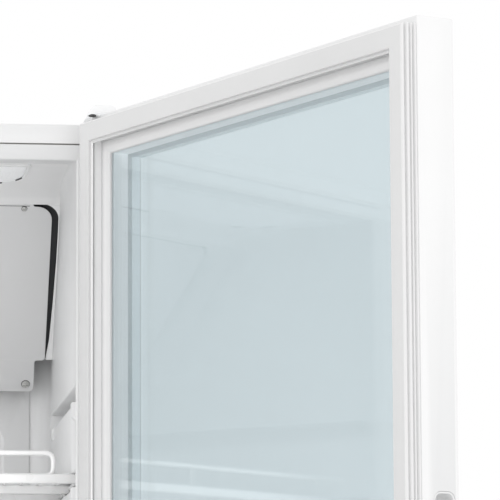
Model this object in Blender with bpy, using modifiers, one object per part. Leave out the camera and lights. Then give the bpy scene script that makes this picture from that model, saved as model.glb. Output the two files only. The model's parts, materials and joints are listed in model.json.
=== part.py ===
"""Reach in refrigerator: one glass door upright with its door standing open.

Metres, +Z up. The cabinet is drawn about its own frame (X = 0 at mid width, Y = 0 at the front edge,
Y growing into the cabinet, Z = 0 at the floor) under one root empty, which centres the whole footprint.
"""

import math

import bmesh
import bpy
from mathutils import Matrix, Vector

# --- driving dimensions -------------------------------------------------------------------------
WIDTH = 0.580
DEPTH = 0.480
HEIGHT = 1.250
SHEET = 0.001
GAP = 0.0003

FOOT_HEIGHT = 0.030
DECK_Z = 0.205
STRIP = 0.0185
GROOVE_LINE = 0.0015

LINER_HALF = 0.2565
LINER_TOP = HEIGHT - 0.0365
LINER_FLOOR = 0.241
LINER_BACK = 0.387
LINER_WALL = 0.0025
LINER_CORNER = 0.022
POCKET_HALF = 0.2255
POCKET_BACK = 0.400
POCKET_LOW = 0.2985
POCKET_HIGH = 1.205

RUNNER_COUNT = 8
RUNNER_TOP = HEIGHT - 0.260
RUNNER_PITCH = 0.084
RUNNER_HEIGHT = 0.018
RUNNER_DEPTH = 0.0150
RUNNER_FRONT = 0.010
RUNNER_BACK = 0.360
STOP_OUT = 0.0044
STOP_HEIGHT = 0.0165
STOP_FRONT = 0.004
STOP_BACK = 0.020
REST_OUT = 0.002
REST_HEIGHT = 0.0105
REST_FRONT = 0.318
REST_BACK = 0.334

SHELF_RUNNERS = {"top": 1, "middle": 3, "bottom": 6}
SHELF_FRONT = 0.060
SHELF_BACK = 0.325
SHELF_HALF = 0.2670
SHELF_WIRE = 0.0026
SHELF_WIRES = 29
SHELF_PITCH = 0.0178
SHELF_BAR = 0.0045
SHELF_CROSS = 0.190
GUARD_HALF = 0.2388
GUARD_RISE = 0.0215
GUARD_WIRE = 0.0025

COVER_TOP = (0.2195, HEIGHT - 0.0508)
COVER_BOTTOM = (0.3577, HEIGHT - 0.2337)
COVER_STEP = 0.828
COVER_HALF = 0.248
COVER_TAB_HALF = 0.237
COVER_THICKNESS = 0.0012
FAN_RADIUS = 0.056
DUCT_FRONT = 0.3842
DUCT_BACK = 0.3867
DUCT_HALF = 0.2350
DUCT_LOW = 0.290
DUCT_HIGH = 1.029

LAMP_HALF = 0.213
LAMP_FRONT = 0.026
LAMP_BACK = 0.155
LAMP_CORNER = 0.038
LENS_CORNER = 0.056

DOOR_BOTTOM = 0.200
DOOR_TOP = HEIGHT + 0.0045
DOOR_WIDTH = 0.578
DOOR_THICKNESS = 0.0386
DOOR_OPEN_DEG = 113.9
PIVOT = Vector((0.2788, -0.0220, 0.0))
HINGE_OVERHANG = 0.0097
PANEL_FACE = 0.0053
STILE = 0.0235
LIP = 0.040
RAIL = 0.028
GLASS_MARGIN_SIDE = 0.0365
GLASS_MARGIN_END = 0.041
PANE = 0.004
PANE_DEPTH = 0.0034
PANE_SPACE = 0.016

GASKET_WIDTH = 0.0205
GASKET_THICKNESS = 0.0150

GRIP_BOTTOM = HEIGHT - 0.659
GRIP_TOP = HEIGHT - 0.401
GRIP_NEAR = 0.0120
GRIP_FAR = 0.0336
GRIP_DEPTH = 0.0150

PIN_RADIUS = 0.0025
BUSH_RADIUS = 0.0040

HALF = WIDTH / 2
FREE_EDGE = HINGE_OVERHANG - DOOR_WIDTH
PANEL_BACK = PANEL_FACE - DOOR_THICKNESS


# --- scene ---------------------------------------------------------------------------------------
def new_collection(name):
    collection = bpy.data.collections.new(name)
    bpy.context.scene.collection.children.link(collection)
    return collection


for old in list(bpy.data.objects):
    bpy.data.objects.remove(old, do_unlink=True)
PARTS = new_collection("reach_in_refrigerator")
CUTTERS = new_collection("cutters")


def empty(name, location, parent=None, turn=0.0):
    axis = bpy.data.objects.new(name, None)
    PARTS.objects.link(axis)
    axis.location = location
    axis.rotation_euler = (0, 0, math.radians(turn))
    axis.parent = parent
    return axis


ROOT = empty("cabinet_frame", (0, 0, 0))
DOOR = empty("door_hinge_axis", PIVOT, ROOT, DOOR_OPEN_DEG)


# --- materials -----------------------------------------------------------------------------------
def material(name, colour, roughness, metallic=0.0, transmission=0.0):
    made = bpy.data.materials.new(name)
    made.use_nodes = True
    shader = made.node_tree.nodes["Principled BSDF"]
    shader.inputs["Base Color"].default_value = (*colour, 1.0)
    shader.inputs["Roughness"].default_value = roughness
    shader.inputs["Metallic"].default_value = metallic
    shader.inputs["Transmission Weight"].default_value = transmission
    made.diffuse_color = (*colour, 1.0)
    return made


WHITE_STEEL = material("white_painted_steel", (0.88, 0.88, 0.88), 0.35)
WHITE_PLASTIC = material("white_plastic", (0.86, 0.86, 0.86), 0.4)
LINER_PLASTIC = material("liner_plastic", (0.82, 0.83, 0.83), 0.45)
GASKET_VINYL = material("gasket_vinyl", (0.80, 0.80, 0.80), 0.6)
GREY_PAINT = material("grey_painted_plate", (0.60, 0.61, 0.61), 0.5)
WIRE_COAT = material("white_coated_wire", (0.90, 0.90, 0.90), 0.35)
GLASS = material("glass", (0.78, 0.86, 0.89), 0.03, 0.0, 0.9)
DIFFUSER = material("lamp_diffuser", (0.90, 0.91, 0.90), 0.5, 0.0, 0.4)
BLACK_PLASTIC = material("black_plastic", (0.02, 0.02, 0.02), 0.6)
FOAM = material("insulation_foam", (0.80, 0.72, 0.50), 0.9)
ZINC_STEEL = material("zinc_plated_steel", (0.70, 0.70, 0.68), 0.35, 1.0)
ALUMINIUM = material("aluminium", (0.80, 0.81, 0.82), 0.4, 1.0)
COPPER = material("copper_tube", (0.72, 0.42, 0.28), 0.35, 1.0)
DARK_STEEL = material("black_painted_steel", (0.03, 0.03, 0.03), 0.45)


# --- shapes --------------------------------------------------------------------------------------
def mesh_object(name, bm, finish, parent=ROOT, collection=None, smooth=False):
    bmesh.ops.recalc_face_normals(bm, faces=bm.faces)
    mesh = bpy.data.meshes.new(name)
    bm.to_mesh(mesh)
    bm.free()
    made = bpy.data.objects.new(name, mesh)
    (collection or PARTS).objects.link(made)
    made.parent = parent
    if finish:
        mesh.materials.append(finish)
    if smooth:
        mesh.shade_smooth()
        mesh.set_sharp_from_angle(angle=math.radians(40))
    return made


def add_cuboid(bm, low, high):
    """One box between two opposite corners, given in any order."""
    corners = [sorted(pair) for pair in zip(low, high)]
    size = [b - a for a, b in corners]
    middle = [(a + b) / 2 for a, b in corners]
    where = Matrix.Translation(middle) @ Matrix.Diagonal((*size, 1.0))
    bmesh.ops.create_cube(bm, size=1.0, matrix=where)


def cuboids(name, boxes, finish, parent=ROOT, collection=None):
    bm = bmesh.new()
    for low, high in boxes:
        add_cuboid(bm, low, high)
    return mesh_object(name, bm, finish, parent, collection)


def cuboid(name, low, high, finish, parent=ROOT):
    return cuboids(name, [(low, high)], finish, parent)


def cylinder(name, start, end, radius, finish, parent=ROOT, sides=24, collection=None):
    """A rod between two points."""
    start = Vector(start)
    end = Vector(end)
    bm = bmesh.new()
    turn = (end - start).to_track_quat("Z", "Y").to_matrix().to_4x4()
    where = Matrix.Translation((start + end) / 2) @ turn
    bmesh.ops.create_cone(bm, cap_ends=True, segments=sides, radius1=radius, radius2=radius,
                          depth=(end - start).length, matrix=where)
    return mesh_object(name, bm, finish, parent, collection, smooth=True)


def as_cutter(made):
    PARTS.objects.unlink(made)
    CUTTERS.objects.link(made)
    made.hide_render = True
    made.display_type = "WIRE"
    return made


def combine(target, other, operation):
    """Booleans other into target; other is kept as a hidden guide."""
    if other.name in PARTS.objects:
        as_cutter(other)
    other.hide_render = True
    other.display_type = "WIRE"
    step = target.modifiers.new(operation.lower(), "BOOLEAN")
    step.operation = operation
    step.object = other
    step.solver = "EXACT"
    return target


def cut_boxes(target, boxes):
    cutter = cuboids(target.name + "_cut", boxes, None, target.parent, CUTTERS)
    return combine(target, cutter, "DIFFERENCE")


def add_boxes(target, boxes):
    guide = cuboids(target.name + "_add", boxes, None, target.parent, CUTTERS)
    return combine(target, guide, "UNION")


def rounded_rectangle(low, high, radius, steps=4):
    """Corner arcs of a rectangle, anticlockwise; radius is one number or four from low-low round."""
    radii = radius if isinstance(radius, (list, tuple)) else [radius] * 4
    centres = [(low[0], low[1], 1, 1, 180), (high[0], low[1], -1, 1, 270),
               (high[0], high[1], -1, -1, 0), (low[0], high[1], 1, -1, 90)]
    points = []
    for (x, y, sx, sy, first), r in zip(centres, radii):
        if r == 0:
            points.append((x, y))
            continue
        for i in range(steps + 1):
            a = math.radians(first + 90 * i / steps)
            points.append((x + sx * r + r * math.cos(a), y + sy * r + r * math.sin(a)))
    return points


def circle(centre, radius, sides=24):
    turn = 2 * math.pi / sides
    return [(centre[0] + radius * math.cos(i * turn), centre[1] + radius * math.sin(i * turn))
            for i in range(sides)]


PLANES = {"XY": Matrix(((1, 0, 0), (0, 1, 0), (0, 0, 1))),
          "XZ": Matrix(((1, 0, 0), (0, 0, -1), (0, 1, 0))),
          "YZ": Matrix(((0, 0, 1), (1, 0, 0), (0, 1, 0)))}


def slab(name, outlines, plane, low, high, finish, parent=ROOT):
    """A flat outline with holes, filled and extruded from low to high along the plane's normal axis."""
    curve = bpy.data.curves.new(name, "CURVE")
    curve.dimensions = "2D"
    curve.fill_mode = "BOTH"
    curve.extrude = abs(high - low) / 2
    for outline in outlines:
        spline = curve.splines.new("POLY")
        spline.points.add(len(outline) - 1)
        for point, (u, v) in zip(spline.points, outline):
            point.co = (u, v, 0, 1)
        spline.use_cyclic_u = True
    made = bpy.data.objects.new(name, curve)
    PARTS.objects.link(made)
    turn = PLANES[plane]
    along = turn @ Vector((0, 0, 1))
    middle = (low + high) / 2
    offset = Vector([abs(c) * middle for c in along])
    made.matrix_local = Matrix.Translation(offset) @ turn.to_4x4()
    made.parent = parent
    if finish:
        curve.materials.append(finish)
    return made


def to_mesh(made):
    """The same object as a mesh, with a curve's caps welded on, so that it can be cut or joined."""
    bpy.context.view_layer.update()
    evaluated = made.evaluated_get(bpy.context.evaluated_depsgraph_get())
    mesh = bpy.data.meshes.new_from_object(evaluated)
    bm = bmesh.new()
    bm.from_mesh(mesh)
    bmesh.ops.remove_doubles(bm, verts=bm.verts, dist=0.00001)
    bm.to_mesh(mesh)
    bm.free()
    name = made.name
    parent = made.parent
    local = made.matrix_local.copy()
    bpy.data.objects.remove(made, do_unlink=True)
    solid = bpy.data.objects.new(name, mesh)
    PARTS.objects.link(solid)
    solid.parent = parent
    solid.matrix_local = local
    return solid


def wire(name, points, radius, finish, parent=ROOT, closed=False):
    """A round wire along straight runs: eight-sided, with filled ends."""
    curve = bpy.data.curves.new(name, "CURVE")
    curve.dimensions = "3D"
    curve.bevel_depth = radius
    curve.bevel_resolution = 1
    curve.use_fill_caps = True
    spline = curve.splines.new("POLY")
    spline.points.add(len(points) - 1)
    for point, place in zip(spline.points, points):
        point.co = (*place, 1)
    spline.use_cyclic_u = closed
    curve.materials.append(finish)
    made = bpy.data.objects.new(name, curve)
    PARTS.objects.link(made)
    made.parent = parent
    return made


def mitred_ring(name, profile, low, high, finish, parent):
    """A closed profile swept round a rectangle in the X-Z plane, with square mitred corners.

    profile holds (inset from the outer edge, Y); low and high are the outer rectangle's corners.
    """
    bm = bmesh.new()
    loops = []
    for inset, y in profile:
        corners = [(low[0] + inset, low[1] + inset), (high[0] - inset, low[1] + inset),
                   (high[0] - inset, high[1] - inset), (low[0] + inset, high[1] - inset)]
        loops.append([bm.verts.new((x, y, z)) for x, z in corners])
    for here, after in zip(loops, loops[1:] + loops[:1]):
        for i in range(4):
            j = (i + 1) % 4
            bm.faces.new((here[i], here[j], after[j], after[i]))
    return mesh_object(name, bm, finish, parent)


def turned(name, profile, centre, axis, finish, parent=ROOT, sides=24):
    """A turned piece: (radius, height) pairs from top to bottom, spun about axis through centre."""
    bm = bmesh.new()
    previous = None
    for radius, height in profile:
        vert = bm.verts.new((radius, 0, height))
        if previous:
            bm.edges.new((previous, vert))
        previous = vert
    mesh = bpy.data.meshes.new(name)
    bm.to_mesh(mesh)
    bm.free()
    mesh.materials.append(finish)
    made = bpy.data.objects.new(name, mesh)
    PARTS.objects.link(made)
    made.parent = parent
    made.location = centre
    made.rotation_euler = Vector(axis).to_track_quat("Z", "Y").to_euler()
    spin = made.modifiers.new("spin", "SCREW")
    spin.steps = sides
    spin.render_steps = sides
    spin.use_merge_vertices = True
    spin.merge_threshold = 0.00001
    spin.use_smooth_shade = True
    return made


# --- outer cabinet -------------------------------------------------------------------------------
def outer_shell():
    roof = HEIGHT - SHEET - GAP
    for side, name in ((-1, "cabinet_left_panel"), (1, "cabinet_right_panel")):
        outline = [(side * HALF, 0), (side * HALF, DEPTH - SHEET - GAP),
                   (side * (HALF - SHEET), DEPTH - SHEET - GAP), (side * (HALF - SHEET), SHEET),
                   (side * (HALF - STRIP), SHEET), (side * (HALF - STRIP), 0)]
        slab(name, [outline], "XY", FOOT_HEIGHT, roof, WHITE_STEEL)
    top = cuboid("cabinet_top_panel", (-HALF, 0, HEIGHT - SHEET), (HALF, DEPTH, HEIGHT), WHITE_STEEL)
    inner = HALF - STRIP - GAP
    add_boxes(top, [((-inner, 0, HEIGHT - STRIP - SHEET), (inner, SHEET, HEIGHT - SHEET / 2))])
    cuboid("cabinet_back_panel", (-HALF + GAP, DEPTH - SHEET, DECK_Z + SHEET + GAP),
           (HALF - GAP, DEPTH, HEIGHT - SHEET - GAP), ZINC_STEEL)
    deck = cuboid("compartment_deck", (-HALF + SHEET + GAP, SHEET + GAP, DECK_Z),
                  (HALF - SHEET - GAP, DEPTH - SHEET - GAP, DECK_Z + SHEET), ZINC_STEEL)
    add_boxes(deck, [((-inner, 0, DECK_Z), (inner, 0.0018, LINER_FLOOR - 0.018))])


def runner_levels():
    """Top and bottom height of each pair of runner grooves."""
    for i in range(RUNNER_COUNT):
        top = RUNNER_TOP - i * RUNNER_PITCH
        yield top - RUNNER_HEIGHT, top


def runner_boxes(inner_x, outer_x, grow):
    """The groove on each side wall at every level, from inner_x out to outer_x, enlarged by grow."""
    boxes = []
    for bottom, top in runner_levels():
        for side in (-1, 1):
            boxes.append(((side * inner_x, RUNNER_FRONT - grow, bottom - grow),
                          (side * outer_x, RUNNER_BACK + grow, top + grow)))
    return boxes


def pocket_box(grow):
    """The air channel and coil room sunk in the liner's back wall, enlarged by grow."""
    return ((-POCKET_HALF - grow, LINER_BACK - 0.010, POCKET_LOW - grow),
            (POCKET_HALF + grow, POCKET_BACK + grow, POCKET_HIGH + grow))


def tub(name, half, top, floor, front, back, corner, finish):
    """A box rounded at its upright rear corners, seen from above."""
    outline = rounded_rectangle((-half, front), (half, back), [0, 0, corner, corner], steps=5)
    return to_mesh(slab(name, [outline], "XY", floor, top, finish))


def liner():
    wall = LINER_WALL
    body = tub("inner_liner", LINER_HALF + wall, LINER_TOP + wall, LINER_FLOOR - wall, 0.0005,
               LINER_BACK + wall, LINER_CORNER, LINER_PLASTIC)
    flange = STRIP + GROOVE_LINE
    add_boxes(body, [((-HALF + flange, 0, LINER_FLOOR - 0.0165), (HALF - flange, wall, HEIGHT - 0.021))])
    bulges = cuboids("runner_bulges", runner_boxes(LINER_HALF, LINER_HALF + RUNNER_DEPTH + 0.002, 0.002),
                     None, ROOT, CUTTERS)
    combine(body, bulges, "UNION")
    add_boxes(body, [pocket_box(wall)])
    hollow = tub("liner_hollow", LINER_HALF, LINER_TOP, LINER_FLOOR, -0.01, LINER_BACK, LINER_CORNER, None)
    combine(body, hollow, "DIFFERENCE")
    grooves = cuboids("runner_grooves", runner_boxes(LINER_HALF - 0.004, LINER_HALF + RUNNER_DEPTH, 0.0),
                      None, ROOT, CUTTERS)
    combine(body, grooves, "DIFFERENCE")
    cut_boxes(body, [pocket_box(0.0)])
    lugs = []
    for bottom, _ in runner_levels():
        for side in (-1, 1):
            root = side * (LINER_HALF + 0.001)
            lugs.append(((side * (LINER_HALF - STOP_OUT), STOP_FRONT, bottom - STOP_HEIGHT),
                         (root, STOP_BACK, bottom)))
            lugs.append(((side * (LINER_HALF - REST_OUT), REST_FRONT, bottom - REST_HEIGHT),
                         (root, REST_BACK, bottom)))
    add_boxes(body, lugs)


def insulation():
    foam = cuboid("insulation_foam", (-HALF + SHEET + GAP, LINER_WALL + 0.0015, DECK_Z + SHEET + GAP),
                  (HALF - SHEET - GAP, DEPTH - SHEET - GAP, HEIGHT - SHEET - GAP), FOAM)
    room = LINER_WALL + 0.0005
    hollow = tub("foam_hollow", LINER_HALF + room, LINER_TOP + room, LINER_FLOOR - room, -0.01,
                 LINER_BACK + room, LINER_CORNER, None)
    combine(foam, hollow, "DIFFERENCE")
    room = RUNNER_DEPTH + 0.0025
    pockets = cuboids("foam_runner_pockets", runner_boxes(LINER_HALF - 0.004, LINER_HALF + room, 0.0025),
                      None, ROOT, CUTTERS)
    combine(foam, pockets, "DIFFERENCE")
    cut_boxes(foam, [pocket_box(LINER_WALL + 0.0005)])
    cut_boxes(foam, [((-LAMP_HALF - 0.004, LAMP_FRONT - 0.004, LINER_TOP - 0.01),
                      (LAMP_HALF + 0.004, LAMP_BACK + 0.004, LINER_TOP + 0.022))])


# --- inside the cabinet --------------------------------------------------------------------------
def lamp_outline(side, front, back, corner):
    """Outline of the lamp seen from below, drawn in from its bezel's edge: square in front, round behind."""
    low = (-LAMP_HALF + side, LAMP_FRONT + front)
    high = (LAMP_HALF - side, LAMP_BACK - back)
    return rounded_rectangle(low, high, [0.004, 0.004, corner, corner], steps=5)


def lamp():
    """Ceiling lamp: a bezel and tray through the liner's roof, the strip in it, the domed lens below."""
    hole = [lamp_outline(0.007, 0.007, 0.007, 0.033)]
    cutter = to_mesh(slab("lamp_hole", hole, "XY", LINER_TOP - 0.005, LINER_TOP + 0.020, None))
    combine(bpy.data.objects["inner_liner"], cutter, "DIFFERENCE")
    bezel = [lamp_outline(0.0, 0.0, 0.0, LAMP_CORNER), lamp_outline(0.008, 0.014, 0.009, LENS_CORNER + 0.004)]
    housing = to_mesh(slab("lamp_housing", bezel, "XY", LINER_TOP - 0.0023, LINER_TOP - GAP, WHITE_PLASTIC))
    walls = [lamp_outline(0.0076, 0.0076, 0.0076, 0.032), lamp_outline(0.0115, 0.0175, 0.0125, 0.026)]
    tray = to_mesh(slab("lamp_tray", walls, "XY", LINER_TOP - 0.0015, LINER_TOP + 0.0165, None))
    combine(housing, tray, "UNION")
    roof = [lamp_outline(0.0080, 0.0080, 0.0080, 0.0316)]
    lid = to_mesh(slab("lamp_tray_roof", roof, "XY", LINER_TOP + 0.0158, LINER_TOP + 0.0180, None))
    combine(housing, lid, "UNION")
    cuboid("lamp_led_strip", (-0.170, 0.085, LINER_TOP + 0.0135), (0.170, 0.097, LINER_TOP + 0.0155),
           WHITE_PLASTIC)
    lens = [lamp_outline(0.0125, 0.0185, 0.0135, LENS_CORNER)]
    slab("lamp_lens", lens, "XY", LINER_TOP - 0.0045, LINER_TOP + 0.001, DIFFUSER)


def cover_frame():
    """Local frame of the sloping evaporator cover: origin at the top edge, +Y down the slope."""
    top = Vector((0, *COVER_TOP))
    down = Vector((0, COVER_BOTTOM[0] - COVER_TOP[0], COVER_BOTTOM[1] - COVER_TOP[1]))
    length = down.length
    down.normalize()
    across = Vector((1, 0, 0))
    out = across.cross(down)
    turn = Matrix((across, down, out)).transposed().to_4x4()
    return Matrix.Translation(top) @ turn, length


def evaporator():
    frame, length = cover_frame()
    step = length * COVER_STEP
    corner = 0.016
    half = COVER_HALF
    tab = COVER_TAB_HALF
    right = [(half, step), (half, corner)]
    for i in range(1, 5):
        a = math.radians(90 * i / 4)
        right.append((half - corner + corner * math.cos(a), corner - corner * math.sin(a)))
    right += [(tab - 0.009, 0), (tab - 0.009, -0.0028)]
    lower = [(tab - 0.004, length), (tab, length - 0.004), (tab, step)]
    outline = lower + right
    outline = outline + [(-x, y) for x, y in reversed(outline)]
    plate = slab("evaporator_cover", [outline, circle((0, length * 0.48), FAN_RADIUS)], "XY",
                 0, COVER_THICKNESS, GREY_PAINT)
    plate.matrix_local = frame @ Matrix.Translation((0, 0, COVER_THICKNESS / 2))

    head_radius = 0.0042
    for name, x in (("cover_screw_left", -0.2284), ("cover_screw_right", 0.2284)):
        head = turned(name, [(0.0, 0.0), (head_radius, 0.0), (head_radius, -0.0010),
                             (head_radius * 0.72, -0.0022), (0.0, -0.0027)],
                      (0, 0, 0), (0, 0, 1), ZINC_STEEL, sides=16)
        head.matrix_local = frame @ Matrix.Translation((x, length - 0.0095, -GAP))

    fan_centre = frame @ Vector((0, length * 0.48, 0))
    fan_axis = (frame.to_3x3() @ Vector((0, 0, 1))).normalized()
    guard = slab("evaporator_fan_guard", fan_guard_outlines(), "XY", 0, 0.002, WIRE_COAT)
    guard.matrix_local = frame @ Matrix.Translation((0, length * 0.48, -GAP - 0.001))
    outline = [fan_outline(0.050, 0.013, 5)]
    blade = to_mesh(slab("evaporator_fan_blade", outline, "XY", 0, 0.006, WHITE_PLASTIC))
    blade.matrix_local = Matrix.Identity(4)
    spin = empty("evaporator_fan_axis", fan_centre, ROOT)
    spin.rotation_mode = "QUATERNION"
    spin.rotation_quaternion = fan_axis.to_track_quat("Z", "Y")
    blade.parent = spin
    blade.location = (0, 0, 0.012)
    cylinder("evaporator_fan_motor", fan_centre + fan_axis * 0.019, fan_centre + fan_axis * 0.050, 0.020,
             BLACK_PLASTIC)

    fins = cuboid("evaporator_coil", (-0.200, 0.342, 1.060), (0.200, 0.392, 1.178), ALUMINIUM)
    starts = [-0.1925 + i * 0.0175 for i in range(23)]
    slots = [((x, 0.335, 1.0645), (x + 0.005, 0.386, 1.1735)) for x in starts]
    cut_boxes(fins, slots)
    slab("drain_tray", [[(0.3625, 1.0345), (0.3985, 1.0300), (0.3985, 1.0500), (0.3970, 1.0500),
                         (0.3970, 1.0320), (0.3645, 1.0362), (0.3645, 1.0500), (0.3625, 1.0500)]],
         "YZ", -0.212, 0.212, WHITE_PLASTIC)
    wing = [(0.2332, 1.1865), (0.3645, 1.0844), (0.3645, 1.2070), (0.2400, 1.2070), (0.2350, 1.2050),
            (0.2332, 1.2000)]
    baffle = to_mesh(slab("evaporator_air_baffle", [wing], "YZ", 0.2500, 0.2555, BLACK_PLASTIC))
    combine(baffle, to_mesh(slab("baffle_left_wing", [wing], "YZ", -0.2555, -0.2500, None)), "UNION")
    add_boxes(baffle, [((-0.2520, 0.2900, 1.2040), (0.2520, 0.3300, 1.2065))])
    outline = [rounded_rectangle((-DUCT_HALF, DUCT_LOW), (DUCT_HALF, DUCT_HIGH), 0.004, steps=2)]
    panel = to_mesh(slab("rear_duct_panel", outline, "XZ", DUCT_FRONT, DUCT_BACK, LINER_PLASTIC))
    outline = [rounded_rectangle((-0.208, 0.335), (0.208, 0.980), 0.018)]
    recess = to_mesh(slab("duct_recess", outline, "XZ", DUCT_FRONT - 0.01, DUCT_FRONT + 0.001, None))
    combine(panel, recess, "DIFFERENCE")


def fan_guard_outlines():
    """A round guard: an outer ring and slots between its bars."""
    outlines = [circle((0, 0), FAN_RADIUS + 0.006, 32)]
    bar = 0.0035
    for i in range(-3, 4):
        low = i * 0.0155 - 0.0155 / 2 + bar / 2
        high = low + 0.0155 - bar
        reach = math.sqrt((FAN_RADIUS - 0.001) ** 2 - max(abs(low), abs(high)) ** 2)
        for side in (-1, 1):
            near = side * bar
            far = side * reach
            outlines.append([(near, low), (far, low), (far, high), (near, high)])
    return outlines


def fan_outline(reach, hub, blades):
    """A flat fan seen along its axis: a hub with broad swept blades."""
    points = []
    for i in range(blades):
        start = 2 * math.pi * i / blades
        for turn, radius in ((0.0, hub), (0.10, reach * 0.70), (0.28, reach), (0.85, reach), (0.80, hub)):
            points.append((radius * math.cos(start + turn), radius * math.sin(start + turn)))
    return points


def shelf(name, runner):
    """A wire shelf in its pair of grooves, with the raised guard loop along its front edge."""
    groove_bottom = RUNNER_TOP - runner * RUNNER_PITCH - RUNNER_HEIGHT
    side_z = groove_bottom + 0.0010
    deck_z = groove_bottom + 0.0170
    half = SHELF_HALF
    thick = SHELF_WIRE
    bar = SHELF_BAR
    low = deck_z - 0.0113
    under = deck_z - thick - 0.0003
    front = [((-half, SHELF_FRONT, deck_z - 0.0095), (half, SHELF_FRONT + bar, deck_z))]
    deck = cuboids("shelf_" + name, front, WIRE_COAT)
    add_boxes(deck, [((-half, SHELF_BACK - bar, low), (half, SHELF_BACK, under))])
    rails = []
    for side in (-1, 1):
        rails.append(((side * half, SHELF_FRONT + 0.0005, side_z),
                      (side * (half - bar), SHELF_BACK - 0.0005, deck_z - 0.0012)))
    add_boxes(deck, rails)
    add_boxes(deck, [((-half + 0.0008, SHELF_CROSS, low), (half - 0.0008, SHELF_CROSS + bar, under))])
    wires = []
    for i in range(SHELF_WIRES):
        x = (i - (SHELF_WIRES - 1) / 2) * SHELF_PITCH
        wires.append(((x - thick / 2, SHELF_FRONT + 0.0006, deck_z - 0.0006 - thick),
                      (x + thick / 2, SHELF_BACK - 0.0006, deck_z - 0.0006)))
    add_boxes(deck, wires)

    rise = deck_z + GUARD_RISE
    foot = deck_z + GAP + GUARD_WIRE
    y = SHELF_FRONT + bar / 2
    r = 0.007
    loop = [(u, y, v) for u, v in rounded_rectangle((-GUARD_HALF, foot), (GUARD_HALF, rise), r, steps=3)]
    guard = to_mesh(wire("shelf_" + name + "_guard", loop, GUARD_WIRE, WIRE_COAT, closed=True))
    add_boxes(guard, [((-0.002, y - 0.002, foot), (0.002, y + 0.002, rise))])


# --- door ----------------------------------------------------------------------------------------
def depth(t):
    """Door-frame Y of a plane t behind the panel's inner face."""
    return PANEL_FACE - t


def door_frame():
    lip_depth = 0.0283
    round_edge = 0.003
    front = PANEL_BACK
    for name, outer, sign in (("door_hinge_stile", HINGE_OVERHANG, -1), ("door_free_stile", FREE_EDGE, 1)):
        body = [(outer, PANEL_FACE), (outer + sign * STILE, PANEL_FACE), (outer + sign * STILE, front)]
        for i in range(4):
            a = math.radians(90 * i / 3)
            body.append((outer + sign * (round_edge - round_edge * math.sin(a)),
                         front + round_edge - round_edge * math.cos(a)))
        stile = to_mesh(slab(name, [body], "XY", DOOR_BOTTOM, DOOR_TOP, WHITE_PLASTIC, DOOR))
        add_boxes(stile, [((outer + sign * (STILE - 0.0005), front, DOOR_BOTTOM + 0.0443),
                           (outer + sign * LIP, depth(lip_depth), DOOR_TOP - 0.0443))])
        if name == "door_free_stile":
            cut_boxes(stile, [((FREE_EDGE - 0.01, depth(GRIP_NEAR), GRIP_BOTTOM),
                               (FREE_EDGE + GRIP_DEPTH + 0.0018, depth(GRIP_FAR), GRIP_TOP))])
        else:
            for low, high in ((DOOR_TOP - 0.0200, DOOR_TOP + 0.01),
                              (DOOR_BOTTOM - 0.01, DOOR_BOTTOM + 0.0200)):
                hole = cylinder("hinge_bore", (0, 0, low), (0, 0, high), BUSH_RADIUS + GAP, None, DOOR, 24)
                combine(stile, hole, "DIFFERENCE")
    left = FREE_EDGE + STILE + GAP
    right = HINGE_OVERHANG - STILE - GAP
    for name, outer, sign in (("door_top_rail", DOOR_TOP, -1), ("door_bottom_rail", DOOR_BOTTOM, 1)):
        profile = [(PANEL_FACE, outer), (PANEL_FACE, outer + sign * RAIL),
                   (depth(lip_depth), outer + sign * RAIL), (depth(lip_depth), outer + sign * 0.044),
                   (front, outer + sign * 0.044), (front, outer + sign * 0.003), (front + 0.003, outer)]
        slab(name, [profile], "YZ", left, right, WHITE_PLASTIC, DOOR)


def glass_opening(margin):
    """Corners of the clear glass opening, grown outward by margin, in the door's X-Z plane."""
    low = (FREE_EDGE + GLASS_MARGIN_SIDE - margin, DOOR_BOTTOM + GLASS_MARGIN_END - margin)
    high = (HINGE_OVERHANG - GLASS_MARGIN_SIDE + margin, DOOR_TOP - GLASS_MARGIN_END + margin)
    return low, high


def glazing():
    bead = [(0, depth(0)), (0, depth(0.0031)), (0.0127, depth(0.0031)), (0.0127, depth(0.0012)),
            (0.0112, depth(0))]
    low, high = glass_opening(0.0127)
    mitred_ring("glazing_bead", bead, low, high, WHITE_PLASTIC, DOOR)
    low, high = glass_opening(0.0098)
    spacer_near = PANE_DEPTH + PANE + GAP
    spacer_far = spacer_near + PANE_SPACE
    outer_near = spacer_far + GAP
    for name, near in (("inner_glass_pane", PANE_DEPTH), ("outer_glass_pane", outer_near)):
        cuboid(name, (low[0], depth(near), low[1]), (high[0], depth(near + PANE), high[1]), GLASS, DOOR)
    spacer = [(0, depth(spacer_near)), (0, depth(spacer_far)), (0.0085, depth(spacer_far)),
              (0.0085, depth(spacer_near))]
    low, high = glass_opening(0.0090)
    mitred_ring("glazing_spacer", spacer, low, high, ALUMINIUM, DOOR)


def gasket():
    """Magnetic seal: a flat face on a ribbed bellows, swept round with mitred corners."""
    base = PANEL_FACE + GAP
    face = PANEL_FACE + GASKET_THICKNESS
    w = GASKET_WIDTH
    levels = [(0.0, 0.0028), (0.0018, 0.0042), (0.0, 0.0056), (0.0, 0.0068), (0.0026, 0.0080),
              (0.0003, 0.0094), (0.0003, 0.0108), (0.0028, 0.0114), (0.0, 0.0122)]
    outer = [(0.0012, base)] + [(inset, base + up - GAP) for inset, up in levels] + [(0.0016, face)]
    inner = [(w - inset, y) for inset, y in reversed(outer)]
    low = (FREE_EDGE + 0.0007, DOOR_BOTTOM + 0.0070)
    high = (HINGE_OVERHANG - 0.0007, DOOR_TOP - 0.0070)
    mitred_ring("door_gasket", outer + inner, low, high, GASKET_VINYL, DOOR)


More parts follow.
